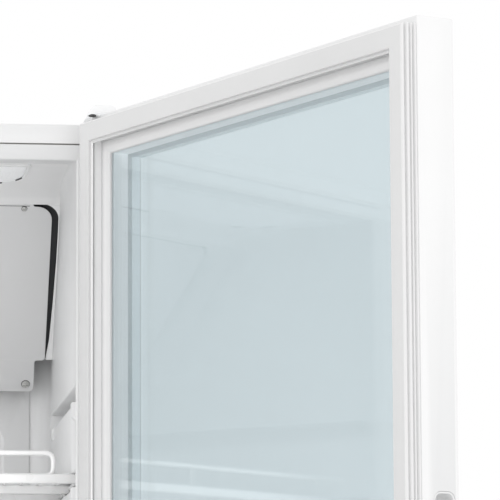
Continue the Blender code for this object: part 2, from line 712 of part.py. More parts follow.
def grip_cup():
    """A moulded cup that lines the grip recess in the door's free edge."""
    g = GAP
    near = depth(GRIP_NEAR) - g
    far = depth(GRIP_FAR) + g
    cup = cuboid("door_grip_cup", (FREE_EDGE - 0.0006 + 0.0008, near, GRIP_BOTTOM + g),
                 (FREE_EDGE + GRIP_DEPTH + 0.0012, far, GRIP_TOP - g), WHITE_PLASTIC, DOOR)
    wall = 0.0015
    cut_boxes(cup, [((FREE_EDGE - 0.01, near - wall, GRIP_BOTTOM + g + wall),
                     (FREE_EDGE + GRIP_DEPTH - 0.0003, far + wall, GRIP_TOP - g - wall))])


def hinges():
    """Top hinge: a cranked plate on the roof with its pin down into the door. Bottom: an angle and pin."""
    x0 = PIVOT.x - 0.0078
    x1 = PIVOT.x + 0.0080
    t = 0.003
    foot = HEIGHT + GAP
    arm = DOOR_TOP + 0.0015
    nose = PIVOT.y - 0.010
    crank = [(0.058, foot), (0.058, foot + t), (0.006, foot + t), (0.0025, arm + t), (nose, arm + t),
             (nose, arm), (0.0005, arm), (0.004, foot)]
    slab("top_hinge_plate", [crank], "YZ", x0, x1, ZINC_STEEL)
    low = (PIVOT.x, PIVOT.y, DOOR_TOP - 0.0170)
    cylinder("top_hinge_pin", low, (PIVOT.x, PIVOT.y, arm - GAP), PIN_RADIUS, ZINC_STEEL, sides=20)
    sole = DOOR_BOTTOM - 0.0022
    low_arm = [(nose, sole - 0.004), (nose, sole), (-GAP, sole), (-GAP, 0.150), (-0.0043, 0.150),
               (-0.0043, sole - 0.004)]
    slab("bottom_hinge_plate", [low_arm], "YZ", HALF - 0.0180, HALF - 0.0010, ZINC_STEEL)
    cylinder("bottom_hinge_pin", (PIVOT.x, PIVOT.y, sole + GAP), (PIVOT.x, PIVOT.y, DOOR_BOTTOM + 0.0170),
             PIN_RADIUS, ZINC_STEEL, sides=20)
    for name, low, high in (("top_hinge_bush", DOOR_TOP - 0.0190, DOOR_TOP + 0.0005),
                            ("bottom_hinge_bush", DOOR_BOTTOM - 0.0005, DOOR_BOTTOM + 0.0190)):
        bore = PIN_RADIUS + GAP
        tube = [(bore, high), (BUSH_RADIUS, high), (BUSH_RADIUS, low), (bore, low), (bore, high)]
        turned(name, tube, (0, 0, 0), (0, 0, 1), WHITE_PLASTIC, DOOR, 24)
    cover = [(0.2655, HEIGHT + GAP), (0.2705, HEIGHT + 0.0165), (0.2735, HEIGHT + 0.0205),
             (0.2865, HEIGHT + 0.0205), (0.2895, HEIGHT + 0.0175), (0.2899, HEIGHT + GAP)]
    shell = to_mesh(slab("top_hinge_cover", [cover], "XZ", -0.0390, 0.0640, WHITE_PLASTIC))
    inside = [(0.2668, HEIGHT - 0.0050), (0.2723, HEIGHT + 0.0160), (0.2744, HEIGHT + 0.0189),
              (0.2858, HEIGHT + 0.0189), (0.2879, HEIGHT + 0.0168), (0.2884, HEIGHT - 0.0050)]
    combine(shell, to_mesh(slab("hinge_cover_inside", [inside], "XZ", -0.0374, 0.0624, None)), "DIFFERENCE")
    cut_boxes(shell, [((0.2500, -0.0500, HEIGHT - 0.01), (0.3000, -0.0005, DOOR_TOP + 0.0030))])


# --- machine compartment -------------------------------------------------------------------------
def compartment():
    floor = FOOT_HEIGHT + GAP
    inner = HALF - SHEET - GAP
    pan_front = 0.0040
    pan = cuboid("base_pan", (-inner, pan_front, floor), (inner, DEPTH - 0.0035, floor + 0.002), ZINC_STEEL)
    add_boxes(pan, [((-inner, pan_front, floor + 0.001), (inner, pan_front + 0.002, floor + 0.016))])
    for side, x in (("left", -0.245), ("right", 0.245)):
        for end, y in (("front", 0.040), ("rear", 0.440)):
            foot = [(0.0, 0.0297), (0.006, 0.0297), (0.006, 0.014), (0.016, 0.012), (0.019, 0.006),
                    (0.019, 0.0), (0.0, 0.0)]
            turned("foot_" + end + "_" + side, foot, (x, y, 0), (0, 0, 1), BLACK_PLASTIC, sides=20)

    grille_low = 0.0340
    grille_high = DECK_Z - 0.0012
    half = HALF - STRIP - GAP
    holes = [rounded_rectangle((-0.235, z), (0.150, z + 0.007), 0.003, 2)
             for z in [grille_low + 0.020 + i * 0.014 for i in range(9)]]
    holes.append(rounded_rectangle((0.1735, 0.1060), (0.1905, 0.1340), 0.002, 2))
    holes.append(circle((0.224, 0.120), 0.0085, 20))
    slab("front_grille", [rounded_rectangle((-half, grille_low), (half, grille_high), 0.002, 2)] + holes,
         "XZ", 0.0004, 0.0034, WHITE_PLASTIC)

    cuboid("control_box", (0.165, 0.0078, 0.095), (0.246, 0.0450, 0.145), BLACK_PLASTIC)
    axis = empty("lamp_switch_axis", (0.182, 0.0030, 0.120), ROOT)
    rocker = [(-0.0048, 0.0125), (-0.0030, -0.0002), (-0.0015, -0.0125), (0.0006, -0.0125), (0.0006, 0.0125)]
    slab("lamp_switch_rocker", [rocker], "YZ", -0.0075, 0.0075, WHITE_PLASTIC, axis)

    knob = [(0.0, 0.0140), (0.0145, 0.0140), (0.0160, 0.0125), (0.0165, 0.0), (0.0062, 0.0),
            (0.0062, -0.0050), (0.0, -0.0050)]
    turned("thermostat_knob", knob, (0.224, -0.0005, 0.120), (0, -1, 0), WHITE_PLASTIC, sides=28)

    bottom = floor + 0.0025
    can = [(0.0, 0.150), (0.040, 0.148), (0.066, 0.132), (0.078, 0.105), (0.078, 0.060), (0.072, 0.038),
           (0.050, 0.020), (0.0, 0.020)]
    body = turned("compressor", can, (-0.130, 0.330, bottom), (0, 0, 1), DARK_STEEL, sides=28)
    legs = cuboid("compressor_legs", (-0.215, 0.262, bottom), (-0.045, 0.398, bottom + 0.0230), None)
    cut_boxes(legs, [((-0.205, 0.25, bottom - 0.01), (-0.055, 0.41, bottom + 0.0150))])
    combine(body, legs, "UNION")
    fins = cuboid("condenser_coil", (0.020, 0.060, bottom), (0.190, 0.110, bottom + 0.140), ALUMINIUM)
    starts = [0.0265 + i * 0.0145 for i in range(11)]
    cut_boxes(fins, [((x, 0.05, bottom + 0.006), (x + 0.005, 0.103, bottom + 0.134)) for x in starts])
    hub = Vector((0.105, 0.150, bottom + 0.070))
    spin = empty("condenser_fan_axis", hub, ROOT)
    spin.rotation_euler = (math.radians(90), 0, 0)
    outline = [fan_outline(0.058, 0.014, 5)]
    blade = to_mesh(slab("condenser_fan_blade", outline, "XY", -0.004, 0.004, DARK_STEEL))
    blade.matrix_local = Matrix.Identity(4)
    blade.parent = spin
    back = hub + Vector((0, 0.050, 0))
    cylinder("condenser_fan_motor", hub + Vector((0, 0.0055, 0)), back, 0.026, BLACK_PLASTIC)
    tray_low = bottom + 0.001
    tray = cuboid("condensate_pan", (0.060, 0.300, tray_low), (0.240, 0.420, tray_low + 0.030), BLACK_PLASTIC)
    cut_boxes(tray, [((0.062, 0.302, tray_low + 0.002), (0.238, 0.418, tray_low + 0.05))])
    pipe_z = bottom + 0.085
    route = [(-0.0518, 0.330, pipe_z), (0.020, 0.330, pipe_z), (0.036, 0.322, pipe_z), (0.044, 0.305, pipe_z),
             (0.044, 0.128, pipe_z), (0.044, 0.1108, pipe_z)]
    wire("discharge_pipe", route, 0.004, COPPER)

    slots = [rounded_rectangle((-0.240, z), (0.130, z + 0.008), 0.003, 2)
             for z in [0.055 + i * 0.016 for i in range(8)]]
    inlet_hole = rounded_rectangle((0.1755, 0.0895), (0.2065, 0.1145), 0.002, 2)
    slab("rear_grille", [rounded_rectangle((-inner, 0.0345), (inner, DECK_Z - 0.0006), 0.002, 2)] + slots
         + [inlet_hole], "XZ", DEPTH - 0.0022, DEPTH, ZINC_STEEL)
    cuboid("power_inlet", (0.1765, DEPTH - 0.0300, 0.0905), (0.2055, DEPTH - 0.0004, 0.1135), BLACK_PLASTIC)


def centre_footprint():
    """Moves the root so that the footprint of everything, open door included, is centred on the origin."""
    bpy.context.view_layer.update()
    depsgraph = bpy.context.evaluated_depsgraph_get()
    xs = []
    ys = []
    for made in PARTS.objects:
        if made.type == "EMPTY":
            continue
        evaluated = made.evaluated_get(depsgraph)
        mesh = evaluated.to_mesh()
        for vert in mesh.vertices:
            place = evaluated.matrix_world @ vert.co
            xs.append(place.x)
            ys.append(place.y)
        evaluated.to_mesh_clear()
    ROOT.location = (-(min(xs) + max(xs)) / 2, -(min(ys) + max(ys)) / 2, 0)
    bpy.context.view_layer.update()


outer_shell()
liner()
insulation()
lamp()
evaporator()
for shelf_name, shelf_runner in SHELF_RUNNERS.items():
    shelf(shelf_name, shelf_runner)
door_frame()
glazing()
gasket()
grip_cup()
hinges()
compartment()
centre_footprint()
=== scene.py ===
"""Looks of the reach in refrigerator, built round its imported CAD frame.

Lengths are metres. Cabinet pieces are drawn in the cabinet's own frame (X = 0 at mid width, Y = 0 at the
front edge) and door pieces in the door's (origin on the hinge pin, +Y out of the panel's inner face).
"""

import json
import math

import bmesh
import bpy
from mathutils import Matrix, Vector


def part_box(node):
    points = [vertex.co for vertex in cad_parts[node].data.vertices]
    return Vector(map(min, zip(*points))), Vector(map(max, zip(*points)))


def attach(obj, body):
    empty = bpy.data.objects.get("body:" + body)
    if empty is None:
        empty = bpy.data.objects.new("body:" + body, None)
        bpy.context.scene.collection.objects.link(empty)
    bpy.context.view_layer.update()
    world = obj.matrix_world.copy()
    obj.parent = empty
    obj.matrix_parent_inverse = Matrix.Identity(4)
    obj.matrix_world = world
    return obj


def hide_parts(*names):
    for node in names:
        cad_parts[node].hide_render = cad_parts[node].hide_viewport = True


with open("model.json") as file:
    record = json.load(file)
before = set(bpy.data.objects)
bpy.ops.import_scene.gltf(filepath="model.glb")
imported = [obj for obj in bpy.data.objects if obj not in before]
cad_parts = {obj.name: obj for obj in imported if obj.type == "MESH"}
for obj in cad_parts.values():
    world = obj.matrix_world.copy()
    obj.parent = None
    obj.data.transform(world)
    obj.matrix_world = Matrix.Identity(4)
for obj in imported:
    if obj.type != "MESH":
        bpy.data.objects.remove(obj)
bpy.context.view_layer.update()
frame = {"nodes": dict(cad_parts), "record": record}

# --- dimensions shared with the frame --------------------------------------------------------------
HALF = 0.290
DEPTH = 0.480
HEIGHT = 1.250
SHEET = 0.001
STRIP = 0.0185
FOLD = 0.0022
GAP = 0.0003
DECK_Z = 0.205
LINER_HALF = 0.2565
LINER_TOP = HEIGHT - 0.0365
LINER_FLOOR = 0.241
LINER_BACK = 0.387
LINER_COVE = 0.022
COVE_WIDE = 0.0065
COVE_TALL = 0.022
FLANGE_HALF = 0.270
FLANGE_TOP = HEIGHT - 0.021
FLANGE_BOTTOM = LINER_FLOOR - 0.0165
RUNNER_TOPS = [HEIGHT - 0.260 - i * 0.084 for i in range(8)]
RUNNER_HEIGHT = 0.018
STOP_HEIGHT = 0.0165
REST_HEIGHT = 0.0105
SHELVES = (("top", 1, "upper_shelf"), ("middle", 3, "centre_shelf"), ("bottom", 6, "lower_shelf"))
DOOR_BOTTOM = 0.200
DOOR_TOP = HEIGHT + 0.0045
DOOR_OPEN_DEG = 113.9
HINGE_EDGE = 0.0097
FREE_EDGE = HINGE_EDGE - 0.578
PANEL_FACE = 0.0053
PANEL_BACK = PANEL_FACE - 0.0386
PIVOT = Vector((0.2788, -0.0220, 0.0))
GRIP_LOW = HEIGHT - 0.659
GRIP_HIGH = HEIGHT - 0.401
FAN_AT = 0.48

RIGHT_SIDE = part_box("cabinet_right_panel")[1].x
BACK_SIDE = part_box("cabinet_back_panel")[1].y
CABINET = Matrix.Translation((RIGHT_SIDE - HALF, BACK_SIDE - DEPTH, 0))
DOOR = CABINET @ Matrix.Translation(PIVOT) @ Matrix.Rotation(math.radians(DOOR_OPEN_DEG), 4, "Z")
TO_FRONT = Matrix.Rotation(math.pi / 2, 4, "X")
TO_BACK = Matrix.Rotation(-math.pi / 2, 4, "X")


def mm(*rows):
    """Rows given in millimetres, as rows in metres."""
    return [tuple(value / 1000 for value in row) for row in rows]


def scaled(colour, factor):
    return tuple(min(1.0, c * factor) for c in colour)
# --- materials -------------------------------------------------------------------------------------
def link(tree, a, b):
    tree.links.new(a, b)


def noise(tree, source, scale, detail=3.0, roughness=0.5):
    made = tree.nodes.new("ShaderNodeTexNoise")
    made.inputs["Scale"].default_value = scale
    made.inputs["Detail"].default_value = detail
    made.inputs["Roughness"].default_value = roughness
    link(tree, source, made.inputs["Vector"])
    return made.outputs["Fac"]


def ranged(tree, source, low, high, start=0.3, end=0.7):
    made = tree.nodes.new("ShaderNodeMapRange")
    made.inputs["From Min"].default_value = start
    made.inputs["From Max"].default_value = end
    made.inputs["To Min"].default_value = low
    made.inputs["To Max"].default_value = high
    link(tree, source, made.inputs["Value"])
    return made.outputs["Result"]


def mixed(tree, factor, first, second):
    made = tree.nodes.new("ShaderNodeMix")
    made.data_type = "RGBA"
    link(tree, factor, made.inputs["Factor"])
    for socket, value in ((made.inputs["A"], first), (made.inputs["B"], second)):
        if isinstance(value, tuple):
            socket.default_value = (*value, 1.0)
        else:
            link(tree, value, socket)
    return made.outputs["Result"]


def wave(tree, source, scale, direction):
    made = tree.nodes.new("ShaderNodeTexWave")
    made.inputs["Scale"].default_value = scale
    made.bands_direction = direction
    link(tree, source, made.inputs["Vector"])
    return made.outputs["Fac"]


def surface(name, colour, rough, metal=0.0, tone=0.02, tone_scale=7.0, grain=0.00002, grain_scale=700.0,
            rough_spread=0.06, stretch=(1, 1, 1), edge=None, coat=0.0, glow=0.0, transmission=0.0,
            pattern=None, ior=1.5, sheen=0.0):
    """A procedural finish: tone drift, a grain in relief, uneven gloss, a painted highlight on pointy edges
    and an optional glow.
    """
    made = bpy.data.materials.new(name)
    made.use_nodes = True
    made.diffuse_color = (*colour, 1.0)
    tree = made.node_tree
    shader = tree.nodes["Principled BSDF"]
    for socket, value in (("Metallic", metal), ("IOR", ior), ("Coat Weight", coat), ("Sheen Weight", sheen),
                          ("Transmission Weight", transmission)):
        shader.inputs[socket].default_value = value
    # Glow is emission. On the LED strip and the lamp lens it is the lamp's own light; on any other finish it
    # is painted light on a part that is no lamp.
    if glow:
        shader.inputs["Emission Color"].default_value = (1.0, 1.0, 1.0, 1.0)
        shader.inputs["Emission Strength"].default_value = glow
    mapping = tree.nodes.new("ShaderNodeMapping")
    mapping.inputs["Scale"].default_value = stretch
    link(tree, tree.nodes.new("ShaderNodeTexCoord").outputs["Object"], mapping.inputs["Vector"])
    vector = mapping.outputs["Vector"]
    drift = ranged(tree, noise(tree, vector, tone_scale), 0.0, 1.0)
    base = mixed(tree, drift, scaled(colour, 1 - tone), scaled(colour, 1 + tone))
    relief = noise(tree, vector, grain_scale, 2.0)
    if pattern == "spangle":
        cells = tree.nodes.new("ShaderNodeTexVoronoi")
        cells.inputs["Scale"].default_value = 90.0
        link(tree, vector, cells.inputs["Vector"])
        flake = ranged(tree, cells.outputs["Color"], 0.0, 0.55, 0.0, 1.0)
        base = mixed(tree, flake, base, scaled(colour, 1.22))
    if pattern == "prisms":
        relief = wave(tree, vector, 90.0, "X")
    # Painted shade: dark bands across the fin block stand for the shade in the gaps between fins.
    if pattern == "fins":
        base = mixed(tree, wave(tree, vector, 120.0, "Z"), scaled(colour, 0.55), base)
    # Painted highlight: pointy edges are mixed toward the lighter edge colour, as if lit.
    if edge:
        sharp = tree.nodes.new("ShaderNodeNewGeometry").outputs["Pointiness"]
        base = mixed(tree, ranged(tree, sharp, 0.0, 1.0, 0.53, 0.60), base, edge)
    link(tree, base, shader.inputs["Base Color"])
    gloss = noise(tree, vector, tone_scale * 4 + 3, 4.0)
    link(tree, ranged(tree, gloss, max(0.0, rough - rough_spread), rough + rough_spread),
         shader.inputs["Roughness"])
    bump = tree.nodes.new("ShaderNodeBump")
    bump.inputs["Strength"].default_value = 0.6
    bump.inputs["Distance"].default_value = grain
    link(tree, relief, bump.inputs["Height"])
    link(tree, bump.outputs["Normal"], shader.inputs["Normal"])
    return made


WHITE_STEEL = surface("white_painted_steel", (0.775, 0.778, 0.78), 0.34, tone=0.012, grain=0.00004,
                      grain_scale=420, edge=(0.86, 0.86, 0.86), coat=0.15)
DOOR_WHITE = surface("white_door_frame", (0.775, 0.777, 0.78), 0.36, tone=0.010, grain=0.00003,
                     grain_scale=500, edge=(0.86, 0.86, 0.86), coat=0.1)
WHITE_PLASTIC = surface("white_moulded_plastic", (0.77, 0.773, 0.775), 0.42, tone=0.015, grain=0.00003,
                        grain_scale=900, edge=(0.84, 0.84, 0.84))
LINER = surface("vacuum_formed_liner", (0.715, 0.718, 0.72), 0.40, tone=0.014, tone_scale=4,
                grain=0.00006, grain_scale=260, edge=(0.80, 0.80, 0.80))
GASKET = surface("soft_vinyl_seal", (0.70, 0.70, 0.70), 0.55, tone=0.02, grain=0.00002, grain_scale=1200,
                 sheen=0.15)
# Painted light: a lighter copy of the seal vinyl for the outer ribbed faces.
SEAL_RIB_PAINTED_LIGHT = surface("seal_rib_vinyl_painted_light", (0.80, 0.80, 0.80), 0.5, tone=0.015, grain=0.00002, grain_scale=1200,
                   sheen=0.15)
# Painted light: a lighter, glowing copy of the seal vinyl for the lip and inner wall of the upright legs.
SEAL_WALL_PAINTED_LIGHT = surface("seal_wall_vinyl_painted_light", (0.87, 0.87, 0.87), 0.5, tone=0.015, grain=0.00002, grain_scale=1200,
                    glow=0.09)
# Painted shade: a dark vinyl for the seal's undercut fold.
SEAL_FOLD_PAINTED_SHADE = surface("seal_fold_shade", (0.22, 0.22, 0.22), 0.7, tone=0.1)
# Painted light: the hinge cap's white plastic glows faintly though it is no lamp.
CAP_WHITE_PAINTED_GLOW = surface("hinge_cap_plastic_painted_glow", (0.82, 0.822, 0.825), 0.38, tone=0.012, grain=0.00003,
                    grain_scale=900, glow=0.06)
# Painted light: a lighter copy of the liner plastic for the front flange faces.
LINER_RIM_PAINTED_LIGHT = surface("liner_rim_painted_light", (0.775, 0.778, 0.78), 0.38, tone=0.012, tone_scale=5, grain=0.00005,
                    grain_scale=300)
GREY_PLATE = surface("grey_painted_plate", (0.62, 0.622, 0.625), 0.42, tone=0.015, grain=0.00004,
                     grain_scale=500, edge=(0.80, 0.80, 0.80))
WIRE = surface("white_coated_wire", (0.70, 0.70, 0.70), 0.30, tone=0.02, grain=0.00005, grain_scale=350,
               coat=0.3)
GLASS = surface("tinted_float_glass", (0.785, 0.842, 0.862), 0.012, tone=0.008, tone_scale=3,
                grain=0.000002, grain_scale=12, rough_spread=0.008, transmission=1.0, ior=1.36)
LENS = surface("prismatic_lamp_lens", (0.82, 0.83, 0.84), 0.45, tone=0.02, grain=0.00025, pattern="prisms",
               transmission=0.15, glow=0.10)
LED = surface("led_strip", (0.85, 0.85, 0.80), 0.5, glow=1.2)
BLACK = surface("black_moulded_plastic", (0.018, 0.018, 0.02), 0.55, tone=0.25, grain=0.00008,
                grain_scale=600, edge=(0.05, 0.05, 0.05))
FOAM = surface("polyurethane_foam", (0.60, 0.59, 0.56), 0.95, tone=0.10, grain=0.0005, grain_scale=260)
ZINC = surface("zinc_plated_steel", (0.60, 0.60, 0.585), 0.34, metal=1.0, tone=0.08, grain=0.00003,
               grain_scale=300, stretch=(1, 1, 14), edge=(0.80, 0.80, 0.78))
GALVANISED = surface("galvanised_sheet", (0.50, 0.51, 0.52), 0.42, metal=0.85, tone=0.10, grain=0.00003,
                     grain_scale=160, pattern="spangle")
FINS = surface("aluminium_fin_block", (0.66, 0.67, 0.68), 0.40, metal=1.0, tone=0.06, pattern="fins")
# Painted light: a light, glowing white for the glazing spacer bar, also used on the hinge cap's underside.
WHITE_PAINTED_GLOW = surface("white_glow_painted_light", (0.90, 0.92, 0.93), 0.50, tone=0.03, grain=0.00004, grain_scale=800,
                 glow=0.34)
# Painted light: the outer glazing strip is lighter than the frame and glows faintly though it is no lamp.
GLAZING_STRIP_PAINTED_GLOW = surface("outer_glazing_strip", (0.88, 0.90, 0.91), 0.50, tone=0.02, grain=0.00003,
                        grain_scale=800, glow=0.20)
COPPER = surface("copper_tube", (0.62, 0.33, 0.20), 0.32, metal=1.0, tone=0.14, grain=0.00003)
DARK_STEEL = surface("black_painted_steel", (0.022, 0.022, 0.024), 0.38, tone=0.3, grain=0.00012,
                     grain_scale=300, edge=(0.09, 0.09, 0.09), coat=0.2)

CAD_FINISH = {
    "white_steel": WHITE_STEEL, "galvanised_sheet": GALVANISED, "foam": FOAM, "liner_plastic": LINER,
    "grey_plate": GREY_PLATE, "aluminium_fins": FINS, "white_wire": WIRE, "white_plastic": WHITE_PLASTIC,
    "black_plastic": BLACK, "zinc_steel": ZINC, "lamp_lens": LENS, "door_frame": DOOR_WHITE,
    "door_glass": GLASS, "gasket": GASKET, "black_steel": DARK_STEEL, "copper": COPPER,
}
for row in frame["record"]["subparts"]:
    node = frame["nodes"][row["node"]]
    node.data.materials.clear()
    node.data.materials.append(CAD_FINISH[row["material_slot"]])
# The spacer bar takes the glowing white: painted light.
frame["nodes"]["glazing_spacer"].data.materials[0] = WHITE_PAINTED_GLOW
frame["nodes"]["lamp_led_strip"].data.materials[0] = LED
frame["nodes"]["cabinet_back_panel"].data.materials[0] = GALVANISED


# --- mesh making -----------------------------------------------------------------------------------
def piece(name, bm, slot, replaces=(), body="cabinet", finish=None, more=(), sharp=38):
    """A finished mesh piece, moved from its own frame into the row frame and riding on its body.

    Its finish is its slot's unless another is given; more holds those of material indexes 1 and up.
    """
    bmesh.ops.remove_doubles(bm, verts=bm.verts, dist=0.000002)
    bmesh.ops.dissolve_degenerate(bm, edges=bm.edges, dist=0.000001)
    bm.transform(DOOR if body == "door" else CABINET)
    bmesh.ops.recalc_face_normals(bm, faces=bm.faces)
    mesh = bpy.data.meshes.new(name)
    bm.to_mesh(mesh)
    bm.free()
    mesh.shade_smooth()
    mesh.set_sharp_from_angle(angle=math.radians(sharp))
    for material in (finish or CAD_FINISH[slot], *more):
        mesh.materials.append(material)
    made = bpy.data.objects.new(name, mesh)
    bpy.context.scene.collection.objects.link(made)
    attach(made, body)
    if replaces:
        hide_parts(*replaces)


def join(bm, other, where=None):
    """Adds a second bmesh to the first, moved by where."""
    if where is not None:
        other.transform(where)
    mesh = bpy.data.meshes.new("joined")
    other.to_mesh(mesh)
    other.free()
    bm.from_mesh(mesh)
    bpy.data.meshes.remove(mesh)


def loft(bm, loops, cap_first=False, cap_last=False, ring=True):
    """Quads between loops of equal length; ring closes each loop on itself."""
    rows = [[bm.verts.new(p) for p in loop] for loop in loops]
    count = len(rows[0])
    for here, after in zip(rows, rows[1:]):
        for i in range(count if ring else count - 1):
            j = (i + 1) % count
            bm.faces.new((here[i], here[j], after[j], after[i]))
    if cap_first:
        bm.faces.new(rows[0])
    if cap_last:
        bm.faces.new(rows[-1])
    return rows


def rounded_box(bm, low, high, radius, segments=2):
    low, high = (Vector(map(f, low, high)) for f in (min, max))
    size = high - low
    where = Matrix.Translation((low + high) / 2) @ Matrix.Diagonal((*size, 1.0))
    block = bmesh.new()
    bmesh.ops.create_cube(block, size=1.0, matrix=where)
    bmesh.ops.bevel(block, geom=list(block.edges), offset=radius, segments=segments, profile=0.5,
                    affect="EDGES")
    join(bm, block)


def rounded_rectangle(low, high, radii, steps=6, inset=0.0):
    """Points of a rounded rectangle, anticlockwise from its low-low corner, drawn in by inset."""
    low = (low[0] + inset, low[1] + inset)
    high = (high[0] - inset, high[1] - inset)
    radii = [max(r - inset, 0.0004) for r in (radii if isinstance(radii, (list, tuple)) else [radii] * 4)]
    centres = ((low[0], low[1], 1, 1, 180), (high[0], low[1], -1, 1, 270),
               (high[0], high[1], -1, -1, 0), (low[0], high[1], 1, -1, 90))
    points = []
    for (x, y, sx, sy, first), r in zip(centres, radii):
        for i in range(steps + 1):
            a = math.radians(first + 90 * i / steps)
            points.append((x + sx * r + r * math.cos(a), y + sy * r + r * math.sin(a)))
    return points


def upright(low, high, radii, y, inset=0.0, steps=8):
    """A rounded rectangle standing in the XZ plane at y."""
    return [(x, y, z) for x, z in rounded_rectangle(low, high, radii, steps, inset)]


def arc(first, last, steps):
    """Angles in radians from first to last degrees."""
    return [math.radians(first + (last - first) * k / steps) for k in range(steps + 1)]


def rounded_path(points, radius, steps=5, closed=False):
    """Points of a path whose corners are turned with a radius, as bent wire is."""
    points = [Vector(p) for p in points]
    count = len(points)
    made = []
    for i, here in enumerate(points):
        if not closed and i in (0, count - 1):
            made.append(here)
            continue
        before = points[i - 1]
        after = points[(i + 1) % count]
        to_before = (before - here).normalized()
        to_after = (after - here).normalized()
        reach = min(radius, (before - here).length * 0.49, (after - here).length * 0.49)
        start = here + to_before * reach
        end = here + to_after * reach
        for k in range(steps + 1):
            t = k / steps
            made.append(start * (1 - t) ** 2 + here * 2 * t * (1 - t) + end * t ** 2)
    return made


def tube(bm, path, radius, sides=12, closed=False):
    """A round tube along a path, with flat capped ends unless it is closed."""
    path = [Vector(p) for p in path]
    count = len(path)
    loops = []
    side = None
    for i, here in enumerate(path):
        before = path[i - 1] if closed or i else here
        after = path[(i + 1) % count] if closed or i < count - 1 else here
        along = (after - before).normalized()
        if side is None:
            side = along.orthogonal().normalized()
        side = (side - along * side.dot(along)).normalized()
        other = along.cross(side)
        loops.append([here + (side * math.cos(a) + other * math.sin(a)) * radius
                      for a in (2 * math.pi * k / sides for k in range(sides))])
    if not closed:
        loft(bm, loops, True, True)
        return
    first = loops[0]
    turn = min(range(sides), key=lambda k: (first[k] - loops[-1][0]).length)
    loft(bm, loops + [first[turn:] + first[:turn]])


def circle(centre, radius, sides=40):
    return [(centre[0] + radius * math.cos(a), centre[1] + radius * math.sin(a))
            for a in (2 * math.pi * k / sides for k in range(sides))]


def lathe(bm, profile, where, sides=32):
    """Spins (radius, height) pairs about the local Z axis of where."""
    loops = []
    for radius, height in profile:
        ring = circle((0, 0), max(radius, 0.00001), sides)
        loops.append([where @ Vector((x, y, height)) for x, y in ring])
    loft(bm, loops, True, True)


PLANES = {"XY": Matrix(((1, 0, 0), (0, 1, 0), (0, 0, 1))),
          "XZ": Matrix(((1, 0, 0), (0, 0, -1), (0, 1, 0))),
          "YZ": Matrix(((0, 0, 1), (1, 0, 0), (0, 1, 0)))}


def plate(bm, outlines, plane, low, high, bevel=0.0003, segments=2, where=None):
    """A flat outline with holes, filled, extruded from low to high and rounded along every edge."""
    curve = bpy.data.curves.new("plate", "CURVE")
    curve.dimensions = "2D"
    curve.fill_mode = "BOTH"
    curve.extrude = (high - low) / 2 - bevel
    curve.bevel_depth = bevel
    curve.bevel_resolution = segments
    curve.offset = -bevel
    for outline in outlines:
        spline = curve.splines.new("POLY")
        spline.points.add(len(outline) - 1)
        for point, (u, v) in zip(spline.points, outline):
            point.co = (u, v, 0, 1)
        spline.use_cyclic_u = True
    made = bpy.data.objects.new("plate", curve)
    bpy.context.scene.collection.objects.link(made)
    bpy.context.view_layer.update()
    mesh = bpy.data.meshes.new_from_object(made.evaluated_get(bpy.context.evaluated_depsgraph_get()))
    bpy.data.objects.remove(made, do_unlink=True)
    bpy.data.curves.remove(curve)
    turn = PLANES[plane]
    along = turn @ Vector((0, 0, 1))
    middle = (low + high) / 2
    shift = Matrix.Translation([abs(c) * middle for c in along]) @ turn.to_4x4()
    flat = bmesh.new()
    flat.from_mesh(mesh)
    bpy.data.meshes.remove(mesh)
    bmesh.ops.remove_doubles(flat, verts=flat.verts, dist=0.000005)
    flat.transform(shift)
    join(bm, flat, where)


def carve(bm, cutter):
    """bm less cutter, as a new bmesh."""
    things = []
    for shape in (bm, cutter):
        bmesh.ops.remove_doubles(shape, verts=shape.verts, dist=0.000002)
        bmesh.ops.recalc_face_normals(shape, faces=shape.faces)
        mesh = bpy.data.meshes.new("carved")
        shape.to_mesh(mesh)
        shape.free()
        made = bpy.data.objects.new("carved", mesh)
        bpy.context.scene.collection.objects.link(made)
        things.append(made)
    target, tool = things
    step = target.modifiers.new("cut", "BOOLEAN")
    step.operation = "DIFFERENCE"
    step.solver = "EXACT"
    step.object = tool
    bpy.context.view_layer.update()
    mesh = bpy.data.meshes.new_from_object(target.evaluated_get(bpy.context.evaluated_depsgraph_get()))
    made = bmesh.new()
    made.from_mesh(mesh)
    for thing in things:
        bpy.data.objects.remove(thing, do_unlink=True)
    bpy.data.meshes.remove(mesh)
    return made


def smooth_ring(bm, profile, low, high):
    """Sweeps a closed (side inset, end inset, Y) profile round a rectangle, with mitred corners."""
    loft(bm, [[(low[0] + side, y, low[1] + end), (high[0] - side, y, low[1] + end),
               (high[0] - side, y, high[1] - end), (low[0] + side, y, high[1] - end)]
              for side, end, y in profile + profile[:1]])


def screw_head(bm, where, radius=0.0042, height=0.0024):
    """A domed cross-recess head; where puts its seat at the origin with +Z outward."""
    arm = radius * 0.58
    thin = radius * 0.13
    cross = [(arm, -thin), (arm, thin), (thin, thin), (thin, arm), (-thin, arm), (-thin, thin),
             (-arm, thin), (-arm, -thin), (-thin, -thin), (-thin, -arm), (thin, -arm), (thin, -thin)]
    lathe(bm, [(0, 0), (radius, 0), (radius, height * 0.35), (radius * 0.96, height * 0.5),
               (radius * 0.8, height * 0.62), (0, height * 0.62)], where, 28)
    plate(bm, [circle((0, 0), radius * 0.86, 28), cross], "XY", height * 0.55, height, 0.0002, 1, where)


# --- cabinet sheets --------------------------------------------------------------------------------
FOLD_TURN = arc(0, 90, 6)
REAR_HEM = DEPTH - 0.0013


